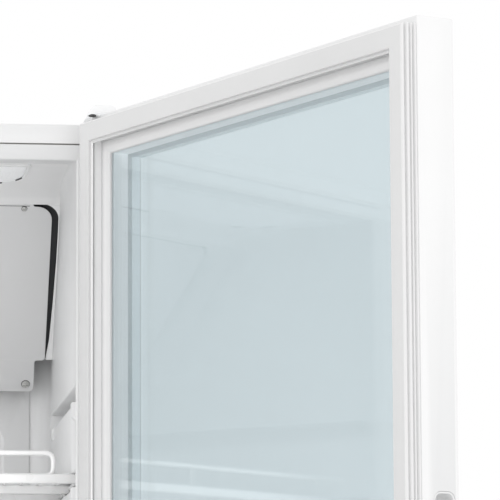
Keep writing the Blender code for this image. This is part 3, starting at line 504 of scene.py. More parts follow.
def folded_front(side):
    """Outline of a side sheet seen from above: the side, and its rounded fold across the front."""
    within = FOLD - SHEET
    outline = [(HALF, REAR_HEM)]
    outline += [(HALF - FOLD + FOLD * math.cos(a), FOLD - FOLD * math.sin(a)) for a in FOLD_TURN]
    outline += [(HALF - STRIP, 0.0), (HALF - STRIP, SHEET)]
    outline += [(HALF - FOLD + within * math.cos(a), FOLD - within * math.sin(a))
                for a in reversed(FOLD_TURN)]
    outline.append((HALF - SHEET, REAR_HEM))
    return [(side * x, y) for x, y in outline]


for side, label in ((-1, "left"), (1, "right")):
    bm = bmesh.new()
    plate(bm, [folded_front(side)], "XY", 0.030, HEIGHT - SHEET - GAP, 0.0002)
    piece("side_sheet_" + label, bm, "white_steel", ["cabinet_%s_panel" % label])

bm = bmesh.new()
UNDER_ROOF = HEIGHT - SHEET
BETWEEN_STRIPS = HALF - STRIP - GAP
drop = [(SHEET, HEIGHT - FOLD), (SHEET, UNDER_ROOF - STRIP), (0.0, UNDER_ROOF - STRIP)]
bend = [(FOLD - FOLD * math.cos(a), HEIGHT - FOLD + FOLD * math.sin(a)) for a in FOLD_TURN]
plate(bm, [[(DEPTH, HEIGHT), (DEPTH, UNDER_ROOF), (FOLD, UNDER_ROOF)] + drop + bend], "YZ",
      -BETWEEN_STRIPS, BETWEEN_STRIPS, 0.0002)
for side in (-1, 1):
    plate(bm, [[(DEPTH, HEIGHT), (DEPTH, UNDER_ROOF), (0.0010, UNDER_ROOF)] + bend[4:]], "YZ",
          *sorted((side * HALF, side * BETWEEN_STRIPS)), 0.0002)
piece("roof_sheet", bm, "white_steel", ["cabinet_top_panel"])


# --- liner -----------------------------------------------------------------------------------------
def runner_profile():
    """(height, groove depth, stop rise, rest rise) down the side wall, each corner turned by a small arc.

    Under a groove the wall carries two lugs: a stop at the front, chamfered below, and a low rest behind.
    """
    rows = []
    soft = 0.002
    deep = 0.013
    turns = arc(0, 90, 3)
    for top in RUNNER_TOPS:
        bottom = top - RUNNER_HEIGHT
        rows += [(top + soft - soft * math.sin(a), soft - soft * math.cos(a), 0.0, 0.0) for a in turns]
        rows += [(top - soft + soft * math.cos(a), deep + soft * math.sin(a), 0.0, 0.0) for a in turns]
        rows += [(bottom + soft - soft * math.cos(a), deep + soft * math.sin(a), 0.0, 0.0)
                 for a in reversed(turns)]
        rows.append((bottom, 0.0, 0.0, 0.0))
        rows += [(bottom - 0.0012 + 0.0012 * math.cos(a), 0.0, 0.0032 + 0.0012 * math.sin(a),
                  0.0010 + 0.0010 * math.sin(a)) for a in turns]
        rows += [(bottom - REST_HEIGHT, 0.0, 0.0044, 0.0018),
                 (bottom - REST_HEIGHT - 0.0012, 0.0, 0.0044, 0.0)]
        rows += [(bottom - STOP_HEIGHT + up, 0.0, rise, 0.0)
                 for up, rise in ((0.0030, 0.0043), (0.0018, 0.0038), (-0.0020, 0.0))]
    return rows


def share(y, rises, falls):
    """Piecewise weight along Y: 0 before rises, 1 between, 0 after falls."""
    table = rises + falls
    if y <= table[0][0] or y >= table[-1][0]:
        return 0.0
    for (a, wa), (b, wb) in zip(table, table[1:]):
        if a <= y <= b:
            return wa + (wb - wa) * (y - a) / (b - a)
    return 0.0


GROOVE_SHARE = ([(0.0092, 0.0), (0.0100, 0.62), (0.0110, 0.92), (0.0128, 1.0)],
                [(0.3560, 1.0), (0.3585, 0.90), (0.3600, 0.58), (0.3607, 0.0)])
STOP_SHARE = ([(0.0034, 0.0), (0.0040, 0.62), (0.0047, 0.94), (0.0062, 1.0)],
              [(0.0170, 1.0), (0.0190, 0.80), (0.0200, 0.0)])
REST_SHARE = ([(0.3170, 0.0), (0.3180, 1.0)], [(0.3310, 1.0), (0.3340, 0.0)])
LAMP_HOLE = (0.0335, 0.1250)


def liner():
    """The moulded tub: one grid of loops round the opening, from the front flange to the rear face."""
    low_z = LINER_FLOOR + COVE_TALL
    high_z = LINER_TOP - COVE_TALL
    down = [(1, high_z - 0.03 * k, 0.0, 0.0, 0.0) for k in range(7)]
    down += [(1, *row) for row in runner_profile() if row[0] > low_z + 0.002]
    down += [(1, low_z + 0.004, 0.0, 0.0, 0.0), (1, low_z, 0.0, 0.0, 0.0)]
    cove = arc(0, 90, 8)[1:-1]
    half = LINER_HALF - COVE_WIDE
    flat = [(x,) for x in (half, 0.2035, 0.12, 0.04, -0.04, -0.12, -0.2035, -half)]
    loop = []
    for kind, entries in (
            ("wall", down), ("corner", [(1, -1, a) for a in cove]), ("floor", flat),
            ("corner", [(-1, -1, math.pi / 2 - a) for a in cove]),
            ("wall", [(-1, *row[1:]) for row in reversed(down)]), ("corner", [(-1, 1, a) for a in cove]),
            ("ceiling", flat[::-1]), ("corner", [(1, 1, math.pi / 2 - a) for a in cove])):
        loop += [(kind, entry) for entry in entries]

    def place(kind, entry, inset, y, outward):
        """outward > 0 grows the loop; beyond the fillet it becomes the flange's square outline."""
        groove = share(y, *GROOVE_SHARE)
        stop = share(y, *STOP_SHARE)
        rest = share(y, *REST_SHARE)
        flange = outward > 0.01
        if kind == "wall":
            side, z, g, front_lug, rear_lug = entry
            relief = g * groove - front_lug * stop - rear_lug * rest
            x = side * (FLANGE_HALF if flange else LINER_HALF - inset + outward + relief)
            return x, z if flange else min(max(z, LINER_FLOOR + inset), LINER_TOP - inset)
        if kind in ("floor", "ceiling"):
            limit = LINER_HALF - inset
            x = max(-limit, min(limit, entry[0]))
            if kind == "floor":
                return x, FLANGE_BOTTOM if flange else LINER_FLOOR + inset - outward
            return x, FLANGE_TOP if flange else LINER_TOP - inset + outward
        side, up, a = entry
        cx = LINER_HALF - COVE_WIDE
        cz = high_z if up > 0 else low_z
        if flange:
            edge_z = FLANGE_TOP if up > 0 else FLANGE_BOTTOM
            share_x = min(1.0, 1.0 / max(math.tan(a), 1e-6))
            share_z = min(1.0, math.tan(a))
            return side * (cx + (FLANGE_HALF - cx) * share_x), cz + (edge_z - cz) * share_z
        soft = min(1.0, max(0.0, (y - 0.004) / 0.030))
        power = 0.08 + 0.92 * soft
        wide = COVE_WIDE + outward - inset
        tall = COVE_TALL + outward - inset
        x = LINER_HALF - inset if wide <= 0 else cx + wide * math.cos(a) ** power
        z = (cz + up * tall) if tall <= 0 else cz + up * tall * math.sin(a) ** power
        return side * x, z

    rows = [(0.0026, 0.0, 0.0135), (0.0003, 0.0, 0.0135), (0.0, 0.0, 0.0130)]
    rows += [(0.0020 - 0.0020 * math.cos(a), 0.0, 0.0020 - 0.0020 * math.sin(a)) for a in arc(0, 90, 4)]
    stations = {y for rises, falls in (GROOVE_SHARE, STOP_SHARE, REST_SHARE) for y, _ in rises + falls}
    rows += [(y, 0.0, 0.0) for y in sorted(stations | {0.0240, *LAMP_HOLE, 0.09, 0.20, 0.26, 0.3640})]
    rows += [(LINER_BACK - LINER_COVE + LINER_COVE * math.sin(a), LINER_COVE * (1 - math.cos(a)), 0.0)
             for a in arc(10, 90, 8)]
    bm = bmesh.new()
    loops = []
    for y, inset, outward in rows:
        loops.append([(x, y, z) for x, z in (place(kind, entry, inset, y, outward) for kind, entry in loop)])
    grid = loft(bm, loops, cap_last=True)
    ceiling = [i for i, (kind, _) in enumerate(loop) if kind == "ceiling"]
    hole = set()
    for row in range(len(rows) - 1):
        if rows[row][0] >= LAMP_HOLE[0] - 0.0001 and rows[row + 1][0] <= LAMP_HOLE[1] + 0.0001:
            for i in ceiling[1:-2]:
                hole |= set(grid[row][i].link_faces) & set(grid[row + 1][i + 1].link_faces)
    bmesh.ops.delete(bm, geom=list(hole), context="FACES_ONLY")
    # Painted light: faces at the very front (y under 2.1 mm) take the lighter liner copy.
    for face in bm.faces:
        face.material_index = int(max(vert.co.y for vert in face.verts) < 0.0021)
    piece("liner_tub", bm, "liner_plastic", ["inner_liner"], more=[LINER_RIM_PAINTED_LIGHT], sharp=50)


liner()

# --- ceiling lamp ----------------------------------------------------------------------------------
LAMP_LOW = Vector((-0.213, 0.026))
LAMP_HIGH = Vector((0.213, 0.155))
WELL_LOW = LAMP_LOW + Vector((0.0026, 0.0085))
WELL_HIGH = LAMP_HIGH - Vector((0.0026, 0.0062))
WELL_CORNERS = [0.004, 0.004, 0.0590, 0.0590]


def lamp_loops(low, high, radii, rows):
    """Level loops of the lamp's outline, each with its inset and its height from the liner's ceiling."""
    return [[(x, y, LINER_TOP + rise) for x, y in rounded_rectangle(low, high, radii, 8, inset)]
            for inset, rise in rows]


bm = bmesh.new()
rim = mm((0, -0.1), (0, -1.0), (0.4, -1.8), (1.1, -2.3), (1.8, -2.4), (2.4, -2.2))
well = mm((0, -2.0), (0.8, -1.4), (1.2, -0.6), (1.2, -0.4))
loft(bm, lamp_loops(LAMP_LOW, LAMP_HIGH, [0.005, 0.005, 0.0625, 0.0625], rim)
     + lamp_loops(WELL_LOW, WELL_HIGH, WELL_CORNERS, well), cap_last=True)
piece("lamp_bezel", bm, "white_plastic", ["lamp_housing"])

# Painted shade: thin black rods in the lens groove draw the dark slits at the lens edge.
SLOT_SHADE_INSET = 0.0016
groove = rounded_rectangle(WELL_LOW, WELL_HIGH, WELL_CORNERS, 24, SLOT_SHADE_INSET)
slot_shades = [[p for p in groove if side * p[0] > 0.12 and low < p[1] < high]
         for side in (-1, 1) for low, high in ((0.0990, 0.1180), (0.1325, 0.1400))]
slot_shades.append([(x, WELL_HIGH.y - SLOT_SHADE_INSET) for x in (-0.030, 0.0, 0.030)])
bm = bmesh.new()
for slot_shade in slot_shades:
    tube(bm, [(x, y, LINER_TOP - 0.0026) for x, y in slot_shade], 0.0007, 8)
piece("lamp_lens_slot_shades", bm, "black_plastic")

bm = bmesh.new()
lens = mm((0, -0.5), (0, -1.0), (0.6, -1.6), (2.0, -2.1), (6.0, -2.9), (12.0, -3.6), (20.0, -4.2),
          (30.0, -4.5))
loft(bm, lamp_loops(WELL_LOW + Vector((0.0014, 0.0014)), WELL_HIGH - Vector((0.0014, 0.0018)),
                    [0.004, 0.004, 0.0575, 0.0575], lens), True, True)
piece("lamp_diffuser", bm, "lamp_lens", ["lamp_lens"])

# --- evaporator cover and what is behind it --------------------------------------------------------
COVER_TOP = Vector((0, 0.2195, HEIGHT - 0.0508))
COVER_BOTTOM = Vector((0, 0.3577, HEIGHT - 0.2337))
COVER_DOWN = (COVER_BOTTOM - COVER_TOP).normalized()
COVER_LENGTH = (COVER_BOTTOM - COVER_TOP).length
ACROSS = Vector((1, 0, 0))
COVER_TURN = Matrix((ACROSS, COVER_DOWN, ACROSS.cross(COVER_DOWN))).transposed().to_4x4()
SLOPE = Matrix.Translation(COVER_TOP) @ COVER_TURN
FACE_OUT = Matrix.Rotation(math.pi, 4, "X")
FAN_CENTRE = Vector((0, COVER_LENGTH * FAN_AT, 0))
COVER_HALF = 0.248
TAB_HALF = 0.237
STEP = COVER_LENGTH * 0.828
SEAT_HALF = 0.2562
SCREWS = (("cover_screw_heads", 0.2284, COVER_LENGTH - 0.0095, 0.0042, 0.0026,
           ["cover_screw_left", "cover_screw_right"]),
          ("cover_upper_screw_heads", 0.2183, 0.0022, 0.0026, 0.0018, []))


def both_sides(right):
    return right + [(-x, y) for x, y in reversed(right)]


def on_slope(x, s, out=0.0):
    """A place on the sloping cover, s down from its top edge, with +Z out of its face."""
    return SLOPE @ Matrix.Translation((x, s, out)) @ FACE_OUT


def cover_outline():
    """Half outline up one side: the narrow tab, the step out to full width, the round top corner."""
    corner = 0.016
    right = [(TAB_HALF - 0.0045, COVER_LENGTH), (TAB_HALF - 0.0013, COVER_LENGTH - 0.0013),
             (TAB_HALF, COVER_LENGTH - 0.0045), (TAB_HALF, STEP + 0.0025), (TAB_HALF + 0.0008, STEP + 0.0008),
             (TAB_HALF + 0.0025, STEP), (COVER_HALF - 0.0030, STEP), (COVER_HALF - 0.0008, STEP - 0.0008),
             (COVER_HALF, STEP - 0.0030)]
    right += [(COVER_HALF - corner + corner * math.cos(a), corner - corner * math.sin(a))
              for a in arc(0, 90, 7)]
    return right + [(TAB_HALF - 0.007, 0), (TAB_HALF - 0.0085, -0.0006), (TAB_HALF - 0.0095, -0.0028)]


def seat_opening():
    """Half outline of the opening in the liner round the cover: a slow taper, then a round top corner."""
    turn = 0.0185
    reach = 0.2552
    top = -0.0026
    taper = [(0.2486, STEP), (0.2517, 0.165), (0.2538, 0.115), (0.2550, 0.070), (0.2553, 0.040)]
    return taper + [(reach - turn + turn * math.cos(a), top + turn - turn * math.sin(a))
                    for a in arc(0, 90, 10)]


bm = bmesh.new()
plate(bm, [both_sides(cover_outline()), circle((0, FAN_CENTRE.y), 0.056, 64)], "XY", 0.0, 0.0012, 0.0004, 2,
      SLOPE)
for side in (-1, 1):
    flange = bmesh.new()
    rounded_box(flange, (side * 0.2470, 0.020, 0.0008), (side * 0.2460, STEP - 0.006, 0.0110), 0.0003)
    join(bm, flange, SLOPE)
piece("evaporator_cover_plate", bm, "grey_plate", ["evaporator_cover"])

# The liner's ceiling dips to meet the cover, and frames its sides.
bm = bmesh.new()
rim = [(-0.2564, STEP), (-0.2564, -0.0030), (0.2564, -0.0030), (0.2564, STEP)]
plate(bm, [rim + both_sides(seat_opening())], "XY", 0.0018, 0.0034, 0.0003, 2, SLOPE)
DIP_FRONT = 0.0240
DIP_BACK = COVER_TOP.y - 0.0010
DIP_FALL = 0.0118
dip = [(DIP_FRONT + (DIP_BACK - DIP_FRONT) * k / 20, LINER_TOP - 0.0001 - DIP_FALL * (k / 20) ** 7)
       for k in range(21)]
dip += [(DIP_BACK, LINER_TOP + 0.0004), (DIP_FRONT, LINER_TOP + 0.0004)]
loft(bm, [[(x, y, z) for y, z in dip] for x in (-SEAT_HALF, SEAT_HALF)], True, True)
piece("evaporator_seat", bm, "liner_plastic")

bm = bmesh.new()
frame_in = rounded_rectangle((-0.2300, 0.0140), (0.2300, STEP - 0.0100), 0.010, 5)
frame_out = rounded_rectangle((-SEAT_HALF, -0.0120), (SEAT_HALF, STEP), 0.010, 5)
plate(bm, [frame_out, frame_in], "XY", 0.0050, 0.0064, 0.0003, 2, SLOPE)
# Painted shade: a thin black rod along the cover's top edge draws the dark line of the gap there.
tube(bm, [SLOPE @ Vector((x, -0.0009, 0.0003)) for x in (-0.2240, 0.0, 0.2240)], 0.0005, 8)
piece("evaporator_baffle_frame", bm, "black_plastic", ["evaporator_air_baffle"])

# Painted shade: thin black discs under each screw head draw the dark ring round it.
shadow_rings = bmesh.new()
for name, x, s, radius, height, replaced in SCREWS:
    bm = bmesh.new()
    hole = radius + (0.0006 if replaced else 0.0005)
    for side in (-1, 1):
        screw_head(bm, on_slope(side * x, s, -0.0001), radius, height)
        lathe(shadow_rings, [(0, -0.0002), (hole, -0.0002), (hole, 0.0001), (0, 0.0001)],
              SLOPE @ Matrix.Translation((side * x, s, -0.0001)), 24)
    piece(name, bm, "zinc_steel", replaced)
piece("cover_screw_shadow_rings", shadow_rings, "black_plastic")

bm = bmesh.new()
for k in range(6):
    ring = [(*p, -0.0030) for p in circle(FAN_CENTRE, 0.0095 + k * 0.0100, 56)]
    tube(bm, [SLOPE @ Vector(p) for p in ring], 0.0011, 8, closed=True)
for k in range(4):
    a = math.radians(45 + 90 * k)
    spoke = [FAN_CENTRE + Vector((r * math.cos(a), r * math.sin(a), -0.0012)) for r in (0.0, 0.030, 0.0600)]
    tube(bm, [SLOPE @ p for p in spoke], 0.0012, 8)
    screw_head(bm, on_slope(spoke[-1].x, spoke[-1].y, -0.0010), 0.0026, 0.0016)
piece("fan_guard_wires", bm, "white_wire", ["evaporator_fan_guard"])


def fan(bm, reach, hub, thick, blades, where):
    """A moulded axial fan: a domed hub and pitched, curved blades."""
    lathe(bm, [(0, -thick), (hub * 0.9, -thick), (hub, -thick * 0.6), (hub, thick * 0.8),
               (hub * 0.8, thick * 1.3), (0, thick * 1.4)], where, 32)
    root = hub * 0.95
    for blade in range(blades):
        rows = []
        for i in range(7):
            span = i / 6
            radius = root + (reach - root) * span
            row = []
            for j in range(8):
                chord = j / 7 - 0.5
                a = 2 * math.pi * blade / blades + 0.16 * span ** 2 + (0.92 - 0.10 * span) * chord
                pitch = chord * thick * 1.75 * (1.0 - 0.35 * span)
                row.append((radius * math.cos(a), radius * math.sin(a), pitch))
            rows.append(row)
        for lift in (-0.0005, 0.0005):
            loft(bm, [[where @ Vector((x, y, z + lift)) for x, y, z in row] for row in rows], ring=False)


bm = bmesh.new()
fan(bm, 0.050, 0.013, 0.0050, 5, SLOPE @ Matrix.Translation(FAN_CENTRE + Vector((0, 0, 0.0120))))
piece("evaporator_fan_rotor", bm, "white_plastic", ["evaporator_fan_blade"], "evaporator_fan")
bm = bmesh.new()
lathe(bm, mm((0, 19), (17, 19), (19.5, 20.5), (20, 22.5), (20, 47), (18.5, 49.5), (0, 50)),
      SLOPE @ Matrix.Translation(FAN_CENTRE), 36)
piece("evaporator_fan_motor_can", bm, "black_plastic", ["evaporator_fan_motor"])

# --- rear duct panel -------------------------------------------------------------------------------
DUCT_Y = 0.3842
bm = bmesh.new()
edge = mm((0, 2.5), (0, 1.0), (0.2, 0.4), (0.8, 0))
recess = mm((-0.5, 0), (0.3, -0.4), (1.1, -0.1), (2.0, 0.5), (3.2, 0.9), (4.6, 1.0))
loft(bm, [upright((-0.2350, 0.290), (0.2350, 1.029), 0.004, DUCT_Y + back, inset) for inset, back in edge]
     + [upright((-0.208, 0.335), (0.208, 0.980), 0.018, DUCT_Y + back, inset) for inset, back in recess],
     True, True)
piece("duct_panel_moulding", bm, "liner_plastic", ["rear_duct_panel"])


# --- shelves ---------------------------------------------------------------------------------------
def wire_shelf(label, runner, body):
    """A grille of close wires on a flat front bar and two cross bars, with its raised front guard."""
    rail = RUNNER_TOPS[runner] - RUNNER_HEIGHT + 0.0034
    deck = rail + 0.0136
    half = 0.2670
    front = 0.0600
    back = 0.3250
    bar = 0.0045
    bm = bmesh.new()
    rounded_box(bm, (-half, front, deck - 0.0095), (half, front + bar, deck), 0.0018, 3)
    for y in (0.190, back - bar):
        rounded_box(bm, (-half + 0.001, y, deck - 0.0113), (half - 0.001, y + bar, deck - 0.0026), 0.0016, 3)
    for side in (-1, 1):
        x = side * (half - 0.0023)
        for z in (rail, deck - 0.0060):
            tube(bm, [(x, front + 0.0022, z), (x, back - 0.0022, z)], 0.0023, 12)
        for y in (front + 0.0030, 0.1923, 0.2575, back - 0.0030):
            tube(bm, [(x, y, rail), (x, y, deck - 0.0040)], 0.0018, 10)
    for i in range(-14, 15):
        x = i * 0.0178
        run = [(x, back - 0.0008, deck - 0.0014), (x, front + 0.0030, deck - 0.0010),
               (x, front + 0.0012, deck - 0.0022)]
        tube(bm, rounded_path(run, 0.0018, 3), 0.0015, 8)
    piece("wire_shelf_" + label, bm, "white_wire", ["shelf_" + label], body)
    bm = bmesh.new()
    rise = deck + 0.0215
    foot = deck - 0.0014
    y = front + 0.0068
    reach = 0.2388
    corners = [(-reach, y, foot), (reach, y, foot), (reach, y, rise), (-reach, y, rise)]
    tube(bm, rounded_path(corners, 0.0085, 7, closed=True), 0.0025, 14, closed=True)
    tube(bm, [(0, y, foot), (0, y, rise)], 0.0021, 12)
    piece("shelf_guard_" + label, bm, "white_wire", ["shelf_%s_guard" % label], body)


for label, runner, body in SHELVES:
    wire_shelf(label, runner, body)


# --- door ------------------------------------------------------------------------------------------
def even(profile):
    """(inset, height from the panel's face) pairs as a profile with the same inset on every side."""
    return [(inset, inset, PANEL_FACE + up) for inset, up in profile]


def door_ring(name, profile, side=0.0, end=0.0, replaces=(), finish=None):
    """A ring piece swept round the door, drawn in from its edges by side and end."""
    bm = bmesh.new()
    smooth_ring(bm, profile, (FREE_EDGE + side, DOOR_BOTTOM + end), (HINGE_EDGE - side, DOOR_TOP - end))
    piece(name, bm, "door_frame", replaces, "door", finish)


OPENING = (0.0400, 0.0440)
REBATE = (0.0235, 0.0280)
PANE_BACK = PANEL_FACE - 0.0283
GRIP_SHAPE = ((PANEL_FACE - 0.0336, GRIP_LOW), (PANEL_FACE - 0.0120, GRIP_HIGH), 0.0075, 8)
ROUND = 0.003
profile = [(*REBATE, PANEL_FACE), (0.0009, 0.0009, PANEL_FACE), (0.0003, 0.0003, PANEL_FACE - 0.0003),
           (0.0, 0.0, PANEL_FACE - 0.0009)]
for a in arc(0, 90, 6):
    inset = ROUND - ROUND * math.cos(a)
    profile.append((inset, inset, PANEL_BACK + ROUND - ROUND * math.sin(a)))
profile += [(0.0385, 0.0425, PANEL_BACK), (0.0396, 0.0436, PANEL_BACK + 0.0004),
            (*OPENING, PANEL_BACK + 0.0015), (*OPENING, PANE_BACK), (*REBATE, PANE_BACK)]
bm = bmesh.new()
smooth_ring(bm, profile, (FREE_EDGE, DOOR_BOTTOM), (HINGE_EDGE, DOOR_TOP))
cutter = bmesh.new()
loft(cutter, [[(x, y, z) for y, z in rounded_rectangle(*GRIP_SHAPE)]
              for x in (FREE_EDGE - 0.01, FREE_EDGE + 0.0170)], True, True)
for low, high in ((DOOR_TOP - 0.0200, DOOR_TOP + 0.01), (DOOR_BOTTOM - 0.01, DOOR_BOTTOM + 0.0200)):
    lathe(cutter, [(0, low), (0.0043, low), (0.0043, high), (0, high)], Matrix.Identity(4), 32)
piece("door_frame_moulding", carve(bm, cutter), "door_frame",
      ["door_hinge_stile", "door_free_stile", "door_top_rail", "door_bottom_rail"], "door")

bm = bmesh.new()
cup = mm((0.3, 16), (0.3, 0.6), (0.3, 0.2), (1.0, 0.1), (1.8, 0.5), (2.1, 1.4), (2.4, 8), (3, 12.5),
         (4.5, 14.4), (6.5, 15))
loft(bm, [[(FREE_EDGE + x, y, z) for y, z in rounded_rectangle(*GRIP_SHAPE, inset)] for inset, x in cup],
     True, True)
piece("door_grip_recess", bm, "door_frame", ["door_grip_cup"], "door")

# Seal: a flat magnetic face on ribbed bellows outside, and an undercut lip inside. The inner side's
# insets are measured from WIDE.
WIDE = 0.0205
outside = mm((0.2, 0.1), (0, 1.2), (0.4, 2.0), (2.2, 2.7), (2.4, 3.3), (0.8, 3.9), (0.2, 4.7), (0.4, 5.6),
             (1.8, 6.1), (2.0, 6.6), (0.6, 7.2), (0.1, 8.2), (0.1, 9.2), (0.5, 10.0), (2.4, 10.6),
             (2.9, 11.2), (2.4, 11.8), (1.1, 12.3), (0.9, 12.9), (1.0, 13.8), (1.4, 14.5), (2.4, 14.9))
inside = mm((-1.6, 15.0), (-0.6, 14.8), (-0.1, 14.3), (0, 13.6), (0, 12.7), (0.2, 12.0), (0.7, 11.8),
            (1.2, 12.1), (1.9, 12.4), (2.6, 12.3), (3.0, 11.8), (2.9, 11.2), (2.2, 10.9), (-1.4, 10.5),
            (-2.0, 9.7), (-1.4, 8.9), (-0.4, 8.4), (0, 7.6), (0, 4.0), (-0.4, 2.2), (-0.6, 0.1))
SEAL_INSET = (0.0007, 0.0070)
UPRIGHTS = (1, 3)
LIP_AND_WALL_PAINTED_LIGHT = (*range(6, 12), *range(15, 20))
FOLD_ROWS_PAINTED_SHADE = range(12, 15)
bm = bmesh.new()
smooth_ring(bm, even(outside + [(WIDE + inset, up) for inset, up in inside]),
            (FREE_EDGE + SEAL_INSET[0], DOOR_BOTTOM + SEAL_INSET[1]),
            (HINGE_EDGE - SEAL_INSET[0], DOOR_TOP - SEAL_INSET[1]))
# Painted light and shade: the fold rows take the dark painted shade, the upright legs' lip and wall the
# lighter glowing copy, and the outer rows the lighter rib copy.
for i, face in enumerate(bm.faces):
    row = i // 4 - len(outside)
    if row in FOLD_ROWS_PAINTED_SHADE:
        face.material_index = 1
    elif i % 4 in UPRIGHTS and row in LIP_AND_WALL_PAINTED_LIGHT:
        face.material_index = 3
    elif row < -1:
        face.material_index = 2
piece("door_seal", bm, "gasket", ["door_gasket"], "door", more=[SEAL_FOLD_PAINTED_SHADE, SEAL_RIB_PAINTED_LIGHT, SEAL_WALL_PAINTED_LIGHT], sharp=55)

bead = mm((0, -3.1), (0, 0), (10.4, 0), (11.3, -0.2), (11.9, -0.6), (12.4, -1.4), (12.7, -2.4), (12.7, -3.1))
door_ring("glazing_bead_strip", even(bead), 0.0365 - 0.0127, 0.041 - 0.0127, ["glazing_bead"])

lip = PANE_BACK + 0.0004
strip = [(0.0399, 0.0439, PANEL_BACK + 0.0018), (0.0404, 0.0444, PANEL_BACK + 0.0018), (0.0404, 0.0444, lip),
         (0.0310, 0.0350, lip), (0.0310, 0.0350, PANE_BACK), (0.0399, 0.0439, PANE_BACK)]
door_ring("outer_glazing_strip", strip, finish=GLAZING_STRIP_PAINTED_GLOW)

# --- hinge cover -----------------------------------------------------------------------------------
CAP_LEAN = 0.56


def cap_section(y, top, inset):
    """Cap outline in XZ at one Y: a leaning left side, a flat top with round shoulders, an upright right."""
    left = 0.2622 + inset
    right = 0.2925 - inset
    base = HEIGHT + 0.0003
    crown = HEIGHT + top - inset
    lean = left + CAP_LEAN * (crown - base)
    turn = 0.0028
    points = [(left, base), (lean - CAP_LEAN * turn, crown - turn), (lean + turn * 0.1, crown - turn * 0.35),
              (lean + turn * 0.9, crown)]
    points += [(right - turn + turn * math.sin(a), crown - turn + turn * math.cos(a)) for a in arc(0, 90, 4)]
    points.append((right, base))
    return [(x, y, z) for x, z in points]


def slab(outline, low, high):
    """A closed block: an XY outline between two heights."""
    block = bmesh.new()
    loft(block, [[(x, y, z) for x, y in outline] for z in (low, high)], True, True)
    return block


bm = bmesh.new()
sections = mm((-39, 10, 1.6), (-38.6, 11.2, 0.6), (-37.4, 12.2, 0), (-22, 15.8, 0), (-8, 18.6, 0), (4, 20, 0),
              (20, 20.4, 0), (62, 20.4, 0), (63.5, 19.9, 0.5), (64, 19.2, 1.6))
loft(bm, [cap_section(*row) for row in sections], True, True)
over_door = [(0.2500, -0.0500), (0.3000, -0.0500), (0.3000, -0.0100), (0.2500, -0.0100)]
bm = carve(bm, slab(over_door, DOOR_TOP - 0.0150, DOOR_TOP + 0.0005))
# Painted light: the cap's downward faces take the glowing white.
bm.normal_update()
for face in bm.faces:
    face.material_index = int(face.normal.z < -0.9)
piece("hinge_cap", bm, "white_plastic", ["top_hinge_cover"], finish=CAP_WHITE_PAINTED_GLOW, more=[WHITE_PAINTED_GLOW], sharp=30)
# Painted shade: a thin black disc under the cap stands in for the dark gap there.
hole = [(0.2702 + 0.0040 * math.cos(a), -0.0235 + 0.0085 * math.sin(a)) for a in arc(0, 360, 24)[:-1]]
piece("hinge_cap_shadow_disc", slab(hole, DOOR_TOP + 0.0003, DOOR_TOP + 0.0007), "black_plastic")

# --- machine compartment ---------------------------------------------------------------------------
DIAL_AT = (0.224, 0.120)
SWITCH_AT = (0.182, 0.120)
SLOT_PITCH = 0.014
FRONT_SLOTS = [0.0540 + i * SLOT_PITCH for i in range(9)]
REAR_SLOTS = [0.055 + i * 0.016 for i in range(8)]

bm = bmesh.new()
holes = [rounded_rectangle((-0.235, z), (0.150, z + 0.007), 0.0034, 6) for z in FRONT_SLOTS]
holes.append(rounded_rectangle((0.1735, 0.1060), (0.1905, 0.1340), 0.002, 5))
holes.append(circle(DIAL_AT, 0.0085, 32))
panel = rounded_rectangle((-BETWEEN_STRIPS, 0.0340), (BETWEEN_STRIPS, DECK_Z - 0.0012), 0.002, 5)
plate(bm, [panel] + holes, "XZ", 0.0004, 0.0034, 0.0007, 3)
slat = mm((3.6, 10), (4.6, 10), (13, 2.5), (12.6, 1.3), (3.6, 8.5))
for z in FRONT_SLOTS:
    loft(bm, [[(x, y, z + up) for y, up in slat] for x in (-0.238, 0.153)], True, True)
piece("front_grille_panel", bm, "white_plastic", ["front_grille"])

bm = bmesh.new()
for k in range(11):
    mark = bmesh.new()
    rounded_box(mark, (-0.0004, 0.0185, -0.0001), (0.0004, 0.0225 if k % 5 else 0.0245, 0.0003), 0.00015, 1)
    join(bm, mark, Matrix.Translation((DIAL_AT[0], 0.0004, DIAL_AT[1])) @ TO_FRONT
         @ Matrix.Rotation(math.radians(135 - 27 * k), 4, "Z"))
piece("thermostat_scale", bm, "black_plastic")

bm = bmesh.new()
knob_at = Matrix.Translation((DIAL_AT[0], -0.0005, DIAL_AT[1])) @ TO_FRONT
skirt = mm((0, -5), (6.2, -5), (6.2, 0), (16, 0), (16.5, 0.6), (16.3, 3), (15, 4), (14, 4.5), (0, 4.5))
lathe(bm, skirt, knob_at, 48)
flutes = [(0.0132 + 0.0005 * math.cos(24 * a), a) for a in arc(0, 360, 96)[:-1]]
fluted = [(radius * math.cos(a), radius * math.sin(a)) for radius, a in flutes]
loft(bm, [[knob_at @ Vector((x * scale, y * scale, height)) for x, y in fluted]
          for height, scale in ((0.0040, 1.0), (0.0120, 0.95), (0.0135, 0.90), (0.0140, 0.82))], True, True)
pointer = bmesh.new()
rounded_box(pointer, (-0.0008, 0.0020, 0.0138), (0.0008, 0.0105, 0.0144), 0.0002, 1)
join(bm, pointer, knob_at)
piece("thermostat_dial_knob", bm, "white_plastic", ["thermostat_knob"], "thermostat_dial")

